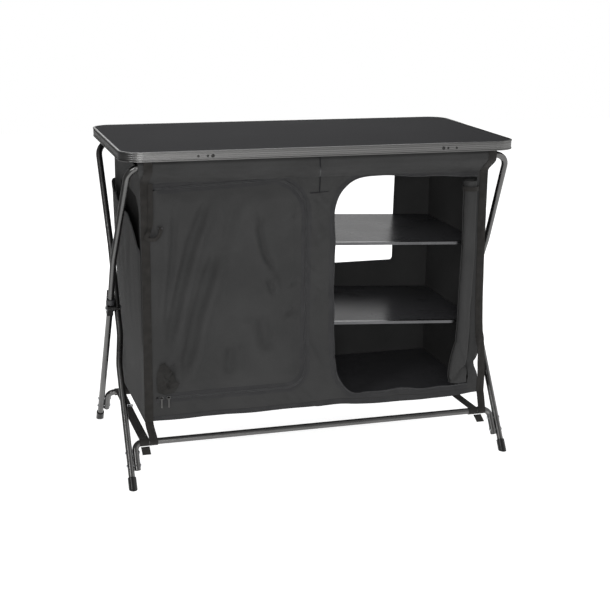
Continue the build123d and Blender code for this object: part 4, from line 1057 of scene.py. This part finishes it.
for side, side_name in ((-1, "left"), (1, "right")):

    def wall_place(u, v):
        """u runs from the front to the rear and v from the bottom to the top."""
        return wall_spot(side, wall_front + u * wall_depth, cloth_bottom + v * cloth_height)

    wall = Cloth()
    wall.grid(46, 74, wall_place, lambda u, v: (u * wall_depth, v * cloth_height))
    wall_piece = wall.make(
        f"side_cloth_{side_name}", cloth, "cupboard", [f"side_panel_{side_name}"]
    )
    declare(wall)

    pocket_low, pocket_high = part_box(f"side_pocket_{side_name}")
    first_y, last_y = pocket_low[1] + 0.0006, pocket_high[1] - 0.0006
    low_z = pocket_low[2] + 0.0004

    def pocket_place(u, v):
        """The pocket, which stands off the wall most at its mouth and hangs in pleats."""
        y = first_y + u * (last_y - first_y)
        z = low_z + v * (along(mouth, y) - low_z)
        across = sin(pi * u) ** 0.42 if 0 < u < 1 else 0.0
        pleat = 0.0022 * uneven(side * 9, y * 16, z * 3) + 0.0012 * sin(y * 85 + z * 9)
        out = across * (0.0008 + v**0.8 * (0.0168 + 0.0028 * u + pleat))
        out += across * 0.0012 * smooth(v, 0.92, 1.0)
        return Vector((side * (half_width + 0.0008 + max(out, 0)), y, z))

    pocket = Cloth()
    pocket.grid(56, 44, pocket_place, lambda u, v: (u * (last_y - first_y), v * 0.31))
    pocket_piece = pocket.make(
        f"side_pocket_cloth_{side_name}", cloth, "cupboard", [f"side_pocket_{side_name}"]
    )

    def shade_patch_place(u, v):
        """The dark patch of painted shade inside the pocket, just outside the wall."""
        y = first_y + 0.006 + u * shade_patch_width
        return wall_spot(side, y, along(shade_patch_top, y) - v * shade_patch_height) + Vector((side * 0.0009, 0, 0))

    # painted shade: a dark cloth patch where the pocket's inside lies in shadow
    shade_patch = Cloth()
    shade_patch.grid(60, 14, shade_patch_place, lambda u, v: (u * shade_patch_width, v * shade_patch_height), 0.0005)
    shade_patch_piece = shade_patch.make(f"side_pocket_painted_shade_{side_name}", pocket_shade_cloth, "cupboard")
    declare(shade_patch)

    def hem_place(u, v):
        """The hem along the pocket's mouth, down its outside."""
        spot = pocket_place(v, 1.0)
        down = (pocket_place(v, 0.96) - spot).normalized()
        return spot + down * ((1 - u) * hem_width) + Vector((side * 0.0010, 0, 0))

    hem = Cloth()
    hem.grid(3, 56, hem_place, lambda u, v: (u * hem_width, v * (last_y - first_y)), 0.0008)
    hem_strip = hem.make(f"side_pocket_hem_{side_name}", stitched, "cupboard")
    declare(hem)
    declare(pocket)

# rear cloth with its two windows
window_inner, window_outer, window_bottom, window_top = 0.109, 0.339, 0.4229, 0.7347


def rear_place(u, v, shift=0.0):
    """Where a flat point of the rear hangs, moved back by shift."""
    bow = between_levels(v) * edge_fade(u, -half_width, half_width, 0.08) * (1 - hill(u, 0.0, 0.05))
    bow *= 0.0030 + 0.0022 * uneven(u * 5, 7.0, v * 5)
    return Vector((u, rear_middle - max(bow, 0) + shift, v))


def window(side, grow):
    """The outline of a rear window, grown all round."""
    first_x, last_x = sorted((side * window_inner, side * window_outer))
    return rounded((first_x - grow, window_bottom - grow), (last_x + grow, window_top + grow), 0.008 + grow)


rear = Cloth()
rear.panel(panel_outline, [window(-1, 0), window(1, 0)], 0.0090, rear_place)
rear_piece = rear.make("rear_cloth", cloth, "cupboard", ["rear_panel"])
binding = Cloth()
for side in (-1, 1):
    for shift in (-0.0009, 0.0009):
        outside, inside = window(side, 0.0095), window(side, 0.0002)
        binding.panel(outside, [inside], 0.0060, lambda u, v: rear_place(u, v, shift), 0.0005)
binding_piece = binding.make("rear_window_bindings", stitched, "cupboard")
declare(binding)
declare(rear)

# floor and divider
floor_low, floor_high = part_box("fabric_floor")
floor_width, floor_depth = floor_high[0] - floor_low[0], floor_high[1] - floor_low[1]
divider_low, divider_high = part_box("divider_panel")


def base_place(u, v):
    """The floor cloth, with shallow dents."""
    z = floor_high[2] - 0.0006 - 0.0008 * max(uneven(u * 9, v * 5, 3), 0)
    return Vector((floor_low[0] + u * floor_width, floor_low[1] + v * floor_depth, z))


def divider_place(u, v):
    """The divider, which sways to both sides between the shelves."""
    y = divider_low[1] + u * (divider_high[1] - divider_low[1])
    z = divider_low[2] + v * (divider_high[2] - divider_low[2])
    sway = between_levels(z) * edge_fade(y, divider_low[1], divider_high[1], 0.05)
    return Vector((sway * 0.0035 * uneven(2, y * 6, z * 6), y, z))


base = Cloth()
base.grid(90, 38, base_place, lambda u, v: (u * floor_width, v * floor_depth))
base_piece = base.make("floor_cloth", cloth, "cupboard", ["fabric_floor"])
declare(base)
divider = Cloth()
divider.grid(40, 66, divider_place, lambda u, v: (u * 0.379, v * 0.629))
divider_piece = divider.make("divider_cloth", cloth, "cupboard", ["divider_panel"])
declare(divider)

# tapes under the shelves, which slope down from the divider
supports = Cloth()
support_depth, support_width = 0.3622, 0.0135
run = half_width - 0.0015 - 0.00075
for side in (-1, 1):
    for height, dip in ((0.5699, 0.020), (0.36395, 0.026)):
        slope = atan2(dip, run)
        outward = Vector((cos(slope), 0, -sin(slope)))
        normal = Vector((sin(slope), 0, cos(slope)))
        for low in (0.0005, run - 0.014):

            def support_place(u, v):
                """u runs away from the divider and v from the front to the rear."""
                spot = Vector((0.00075, 0, height)) + outward * (low + u * support_width) - normal * 0.0057
                return Vector((side * spot.x, -0.1585 + v * support_depth, spot.z))

            supports.grid(3, 30, support_place, lambda u, v: (u * support_width, v * support_depth), 0.0010)
support_piece = supports.make("shelf_support_tapes", webbing, "cupboard", ["shelf_tapes"])
declare(supports)

# sleeves round the two top bars
bar_z = 0.785
sleeve_radius = 0.00905
sleeve_spans = [(-0.4362, -0.3282), (-0.2738, 0.2878), (0.3422, 0.4362)]


def sleeve_line(wall_y, bar_y, facing):
    """Points of a hem tunnel's section as (y, z), from the wall's top edge round the bar and back."""
    start = Vector((wall_y, cloth_top + 0.0004))
    reach = Vector((start.x - bar_y, start.y - bar_z))
    turn = pi / 2 - 0.0001
    if reach.length > sleeve_radius:
        turn = pi / 2 - atan2(sleeve_radius, sqrt(max(reach.length**2 - sleeve_radius**2, 1e-9)))
    middle = atan2(reach.y, reach.x)
    first = middle - facing * turn
    last = middle + facing * turn
    sweep = (last - first) % (2 * pi) if facing < 0 else -((first - last) % (2 * pi))
    around = arc_points(bar_y, bar_z, sleeve_radius, first, sweep, 28)
    end = around[-1].lerp(start, 0.72) + Vector((-facing * 0.0002, 0.0013))
    line = [start] + [start.lerp(around[0], step / 5) for step in range(1, 5)] + around
    return line + [around[-1].lerp(end, step / 4) for step in range(1, 5)]


def sleeve(node, wall_y, bar_y, facing):
    """Makes the tunnel of one wall, in three lengths with gaps for the bar's fittings."""
    made = Cloth()
    line = sleeve_line(wall_y, bar_y, facing)
    lengths = run_lengths(line)
    last = len(line) - 1
    for low, high in sleeve_spans:

        def place(u, v):
            """u runs round the bar and v along it."""
            index = round(u * last)
            point = line[index]
            x = low + v * (high - low)
            out = Vector((point.x - bar_y, point.y - bar_z))
            swell = 0.0005 + 0.0006 * uneven(x * 45, index * 0.16, facing)
            swell *= smooth(out.length, 0.0, 0.008) * smooth(index / last, 0.0, 0.2)
            moved = point + out.normalized() * max(swell, 0)
            return Vector((x, moved.x, moved.y))

        steps = max(6, round((high - low) / 0.007))
        made.grid(last, steps, place, lambda u, v: (lengths[round(u * last)], low + v * (high - low)), 0.0009)
    piece = made.make(node + "_cloth", cloth, "cupboard", [node])
    declare(made)
    return piece


front_sleeve = sleeve("front_bar_sleeve", front_middle, -0.214, 1)
sleeve("rear_bar_sleeve", rear_middle, 0.214, -1)
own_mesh(front_sleeve)

# webbing on the corners
corner_x = 0.4368
foot_x = {-1: 0.4368, 1: 0.4568}
webbing_width = 0.0208

# (height, x) of the right front webbing, which follows the drawn-in edge
right_web = [(0.13, 0.4568), (0.20, 0.4562), (0.235, 0.4546), (0.31, 0.4444)]
right_web += [(0.39, 0.4402), (0.60, 0.4360), (0.80, 0.4345)]

for side, side_name in ((-1, "left"), (1, "right")):

    def web_x(v, z):
        """The middle of a front webbing."""
        if side > 0:
            return along(right_web, z)
        return -(foot_x[-1] - 0.0002 * smooth(v, 0.12, 0.95))

    def front_web(u, v):
        """u runs across the webbing and v from its foot up to the table's edging."""
        z = cloth_bottom + 0.0002 + v * (seam_top - cloth_bottom)
        x = web_x(v, z) + (u - 0.5) * webbing_width
        curl = 0.0004 * sin(pi * u) + 0.0004 * abs(uneven(side, 5, z * 14))
        flat = front_y(side * min(abs(x), half_width), z)
        over = band_y(x, z) - 0.0006
        near = smooth(z, band_foot - 0.006, band_foot + 0.002)
        return Vector((x, flat + (over - flat) * near - 0.0016 - curl, z))

    def rear_web(u, v):
        """u runs across the webbing and v from its foot to the top of the rear cloth."""
        z = cloth_bottom + 0.0002 + v * (cloth_height - 0.0004)
        return rear_place(side * corner_x + (u - 0.5) * webbing_width, z, 0.0016 + 0.0003 * sin(pi * u))

    web = Cloth()
    web.grid(6, 104, front_web, lambda u, v: (u * webbing_width, v * 0.68), 0.0010)
    web_piece = web.make(
        f"front_webbing_{side_name}", webbing, "cupboard", ["front_corner_webbing"]
    )
    declare(web)
    web = Cloth()
    web.grid(6, 96, rear_web, lambda u, v: (u * webbing_width, v * 0.63), 0.0012)
    web_piece = web.make(f"rear_webbing_{side_name}", webbing, "cupboard", ["rear_corner_webbing"])
    declare(web)

# loops that hold the cloth to the two low bars
bar_low, bar_reach = 0.095, 0.19515
wrap = 0.0091
loop_x = {-1: 0.4300, 1: 0.4530}
for facing, end_name, wall_y in ((-1, "front", front_low[1] - 0.0010), (1, "rear", rear_high[1] + 0.0010)):
    loops = Cloth()
    high = Vector((wall_y, cloth_bottom + 0.001))
    reach = high - Vector((facing * bar_reach, bar_low))
    turn = pi / 2 - atan2(wrap, sqrt(reach.length**2 - wrap**2))
    first = atan2(reach.y, reach.x) - facing * turn
    around = arc_points(facing * bar_reach, bar_low, wrap, first, -facing * radians(300), 30)
    line = [high.lerp(around[0], step / 7) for step in range(7)] + around
    for side in (-1, 1):
        start_x = foot_x[side] if facing < 0 else corner_x

        def loop_middle(index):
            """The loop's middle, which drifts sideways on its way down to the bar."""
            return side * (start_x + (loop_x[side] - start_x) * smooth(index, 0, 8))

        loops.strip(4, line, loop_middle, webbing_width, 0.0012)
    loop_piece = loops.make(
        f"{end_name}_strap_loop_webbing", webbing, "cupboard", [f"{end_name}_strap_loops"]
    )
    declare(loops)
    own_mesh(loop_piece)

# spreader straps between the low bars, with their loose tails and buckles
strap_width, tail_width = 0.0238, 0.0215
strap_sag = 0.0030

# (side, x of the strap, x of its tail, how far the tail drifts to the right)
straps = [("left", -0.4535, -0.4510, 0.0030), ("right", 0.4285, 0.4425, 0.0095)]
strap_line = arc_points(-bar_reach, bar_low, wrap, radians(-60), -radians(210), 24)
for step in range(1, 40):
    share = step / 40
    strap_line.append(Vector((bar_reach * (2 * share - 1), bar_low + wrap - strap_sag * sin(pi * share))))
strap_line += arc_points(bar_reach, bar_low, wrap, radians(90), -radians(210), 24)
for side_name, strap_x, tail_x, tail_drift in straps:
    strap = Cloth()
    strap.strip(5, strap_line, lambda index: strap_x, strap_width, 0.0011)
    strap_piece = strap.make(
        f"spreader_webbing_{side_name}", webbing, None, [f"spreader_strap_{side_name}"]
    )

    def tail_place(u, v):
        """u runs across the tail and v down to its end."""
        x = tail_x + (u - 0.5) * tail_width + tail_drift * v
        return Vector((x, -bar_reach - 0.0020 - 0.0075 * v + 0.0030 * v * v, 0.0838 - 0.0200 * v))

    tail = Cloth()
    tail.grid(4, 8, tail_place, lambda u, v: (u * tail_width, v * 0.022), 0.0012)
    tail_piece = tail.make(f"front_strap_tail_{side_name}", webbing, "rear_bar_frame")
    declare(tail)
    declare(strap)
    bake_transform(strap_piece)

buckle_low, buckle_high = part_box("spreader_buckles")
near, far = buckle_low[1] + 0.001, buckle_high[1] - 0.001
level = buckle_low[2] + 0.001
wires = []
for _, strap_x, _, _ in straps:
    left_x, right_x = strap_x - 0.0130, strap_x + 0.0130
    outline = rounded((left_x, near), (right_x, far), 0.0025)
    wires.append([(x, y, level) for x, y in outline + outline[:1]])
    wires.append([(left_x, (near + far) / 2, level), (right_x, (near + far) / 2, level)])
buckles = rod(
    "strap_buckle_frames",
    wires,
    lambda _: 0.0010,
    steel,
    None,
    replaced=["spreader_buckles"],
)
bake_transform(buckles)

# tie of the left door, as (x, z) points evened out along its run
tie_path = [(-0.4235, 0.7375), (-0.4242, 0.700), (-0.4236, 0.660), (-0.4262, 0.632), (-0.4345, 0.614)]
tie_path += [(-0.4385, 0.6075), (-0.4300, 0.6040), (-0.4180, 0.6035), (-0.4080, 0.6075)]
tie_path += [(-0.4030, 0.6165), (-0.4015, 0.6340)]
tie_steps, tie_width = 90, 0.0120
tie_runs = run_lengths(tie_path)
tie_length = tie_runs[-1]
x_by_run, z_by_run = [list(zip(tie_runs, values)) for values in zip(*tie_path)]
tie_line = []
for step in range(tie_steps + 1):
    walked = tie_length * step / tie_steps
    tie_line.append(Vector((along(x_by_run, walked), along(z_by_run, walked))))
for _ in range(4):
    inner = [(a + 2 * b + c) / 4 for a, b, c in zip(tie_line, tie_line[1:], tie_line[2:])]
    tie_line = [tie_line[0]] + inner + [tie_line[-1]]


def tie_place(u, v):
    """u runs across the tape and v along it, from flat on the door to the curl at its end."""
    index = round(v * tie_steps)
    a, b = tie_line[max(index - 1, 0)], tie_line[min(index + 1, tie_steps)]
    run = (b - a).normalized()
    across = Vector((-run.y, run.x)) * (u - 0.5) * tie_width
    curl = smooth(v, 0.50, 0.62)
    spot = tie_line[index] + across * (1 - 0.25 * curl)
    lift = 0.0036 + 0.0060 * curl + (0.0035 * (u - 0.5) + 0.0020 * sin(v * 34)) * curl
    return Vector((spot.x, front_low[1] - lift, spot.y))


tie = Cloth()
tie.grid(4, tie_steps, tie_place, lambda u, v: (u * tie_width, v * tie_length), 0.0012)
tie_piece = tie.make("left_tie_tape", webbing, None, ["left_door_tie"])
declare(tie)
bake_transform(tie_piece)
rod(
    "left_tie_toggle",
    [[(-0.408 + 0.012 * step / 10, front_low[1] - 0.0085, 0.6305) for step in range(11)]],
    lambda share: 0.0032 * (0.72 + 0.28 * sin(pi * share) ** 0.5),
    black_plastic,
    "left_door",
    sides=16,
)

# the crumpled flap over the ends of the left zip
flap_outline = [(-0.416, 0.216), (-0.398, 0.210), (-0.374, 0.213), (-0.362, 0.238), (-0.377, 0.262)]
flap_outline += [(-0.388, 0.284), (-0.398, 0.294), (-0.408, 0.288), (-0.416, 0.262)]


def flap_place(u, v):
    """Where a flat point of the flap lies, lifted most near its middle."""
    crumple = uneven(u * 62, 1.5, v * 48) + 0.6 * uneven(u * 130, 8.0, v * 95)
    centre = exp(-(((u + 0.388) / 0.022) ** 2) - ((v - 0.245) / 0.036) ** 2)
    side_step = 0.0030 * uneven(u * 90, 3.0, v * 70)
    return on_front(u + side_step, v + 0.6 * side_step, 0.0026 + centre * (0.0060 + 0.0090 * crumple))


flap = Cloth()
flap.panel(flap_outline, [], 0.0022, flap_place, 0.0009)
flap_piece = flap.make("left_zip_end_flap", flap_cloth, "left_door")
declare(flap)

# the right door, rolled up, with the hem that stays at its hinge
roll_low, roll_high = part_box("right_door_roll")
roll_x, roll_y = opening_hinge - 0.0214, front_low[1] - 0.010
roll_bottom, roll_top = roll_low[2] + 0.0004, roll_high[2] - 0.0004
roll_radius, roll_squash = 0.0190, 0.86
turns, core_share = 4.6, 0.24
roll_hem_bottom, roll_hem_height = 0.1905, 0.4990


def roll_place(u, v):
    """A spiral of cloth: u runs from the core to the outer lap and v from the bottom to the top."""
    z = roll_bottom + v * (roll_top - roll_bottom)
    angle = -radians(35) + 2 * pi * turns * u
    size = core_share + (1 - core_share) * u
    loose = 1 - smooth(z, 0.176, 0.330)
    pinch = hill(z, 0.6960, 0.012)
    crease = 0.060 * sin(3 * angle + 17 * z) * (0.5 + 0.9 * loose)
    crease += 0.090 * uneven(cos(angle) * 1.3, sin(angle) * 1.3, z * 9)
    crease += loose * 0.150 * uneven(cos(angle) * 1.9 + 5, sin(angle) * 1.9, z * 34)
    crease -= loose * 0.950 * hill(z, 0.262 - 0.030 * cos(angle), 0.0065) * (0.6 - 0.4 * cos(angle))
    crease -= loose * 0.800 * hill(z, 0.205 + 0.022 * cos(angle), 0.0060) * (0.6 + 0.4 * cos(angle))
    scale = size * (0.955 + crease * (1 - pinch) - 0.030 * pinch)
    across = roll_radius * scale * (1 + 0.52 * loose)
    deep = roll_radius * roll_squash * scale * (1 + 0.05 * loose)
    sway = 0.0012 * sin(z * 13) * (1 - pinch)
    x = roll_x - 0.0150 * loose + sway + across * cos(angle)
    return Vector((min(x, opening_hinge - 0.0010), roll_y + deep * sin(angle), z))


def roll_hem(u, v):
    """The hem at the hinge: u runs towards the roll and v from the bottom to the top."""
    z = roll_hem_bottom + v * roll_hem_height
    return Vector((opening_hinge - 0.0004 - u * hem_width, front_middle + 0.0004 * sin(z * 30), z))


roll = Cloth()
roll.grid(150, 96, roll_place, lambda u, v: (u * 0.36, v * (roll_top - roll_bottom)), 0.0009)
roll.grid(4, 60, roll_hem, lambda u, v: (u * hem_width, v * roll_hem_height), 0.0010)
roll_piece = roll.make("right_door_roll_cloth", door_cloth, "cupboard", ["right_door_roll"])
declare(roll)

roll_tie_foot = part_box("right_door_tie")[0][2] + 0.0004
roll_tie_width = 0.0112


def roll_tie_place(u, v):
    """u runs up the tie and v round the roll, with a short overlap at its end."""
    angle = 2 * pi * v * 1.08 + radians(200)
    size = 0.01995 + 0.0007 * v
    y = roll_y + roll_squash * size * sin(angle)
    return Vector((roll_x + size * cos(angle), y, roll_tie_foot + u * roll_tie_width))


roll_tie = Cloth()
roll_tie.grid(3, 72, roll_tie_place, lambda u, v: (u * roll_tie_width, v * 0.135), 0.0009)
roll_tie_piece = roll_tie.make("right_roll_tie", webbing, "cupboard", ["right_door_tie"])
declare(roll_tie)
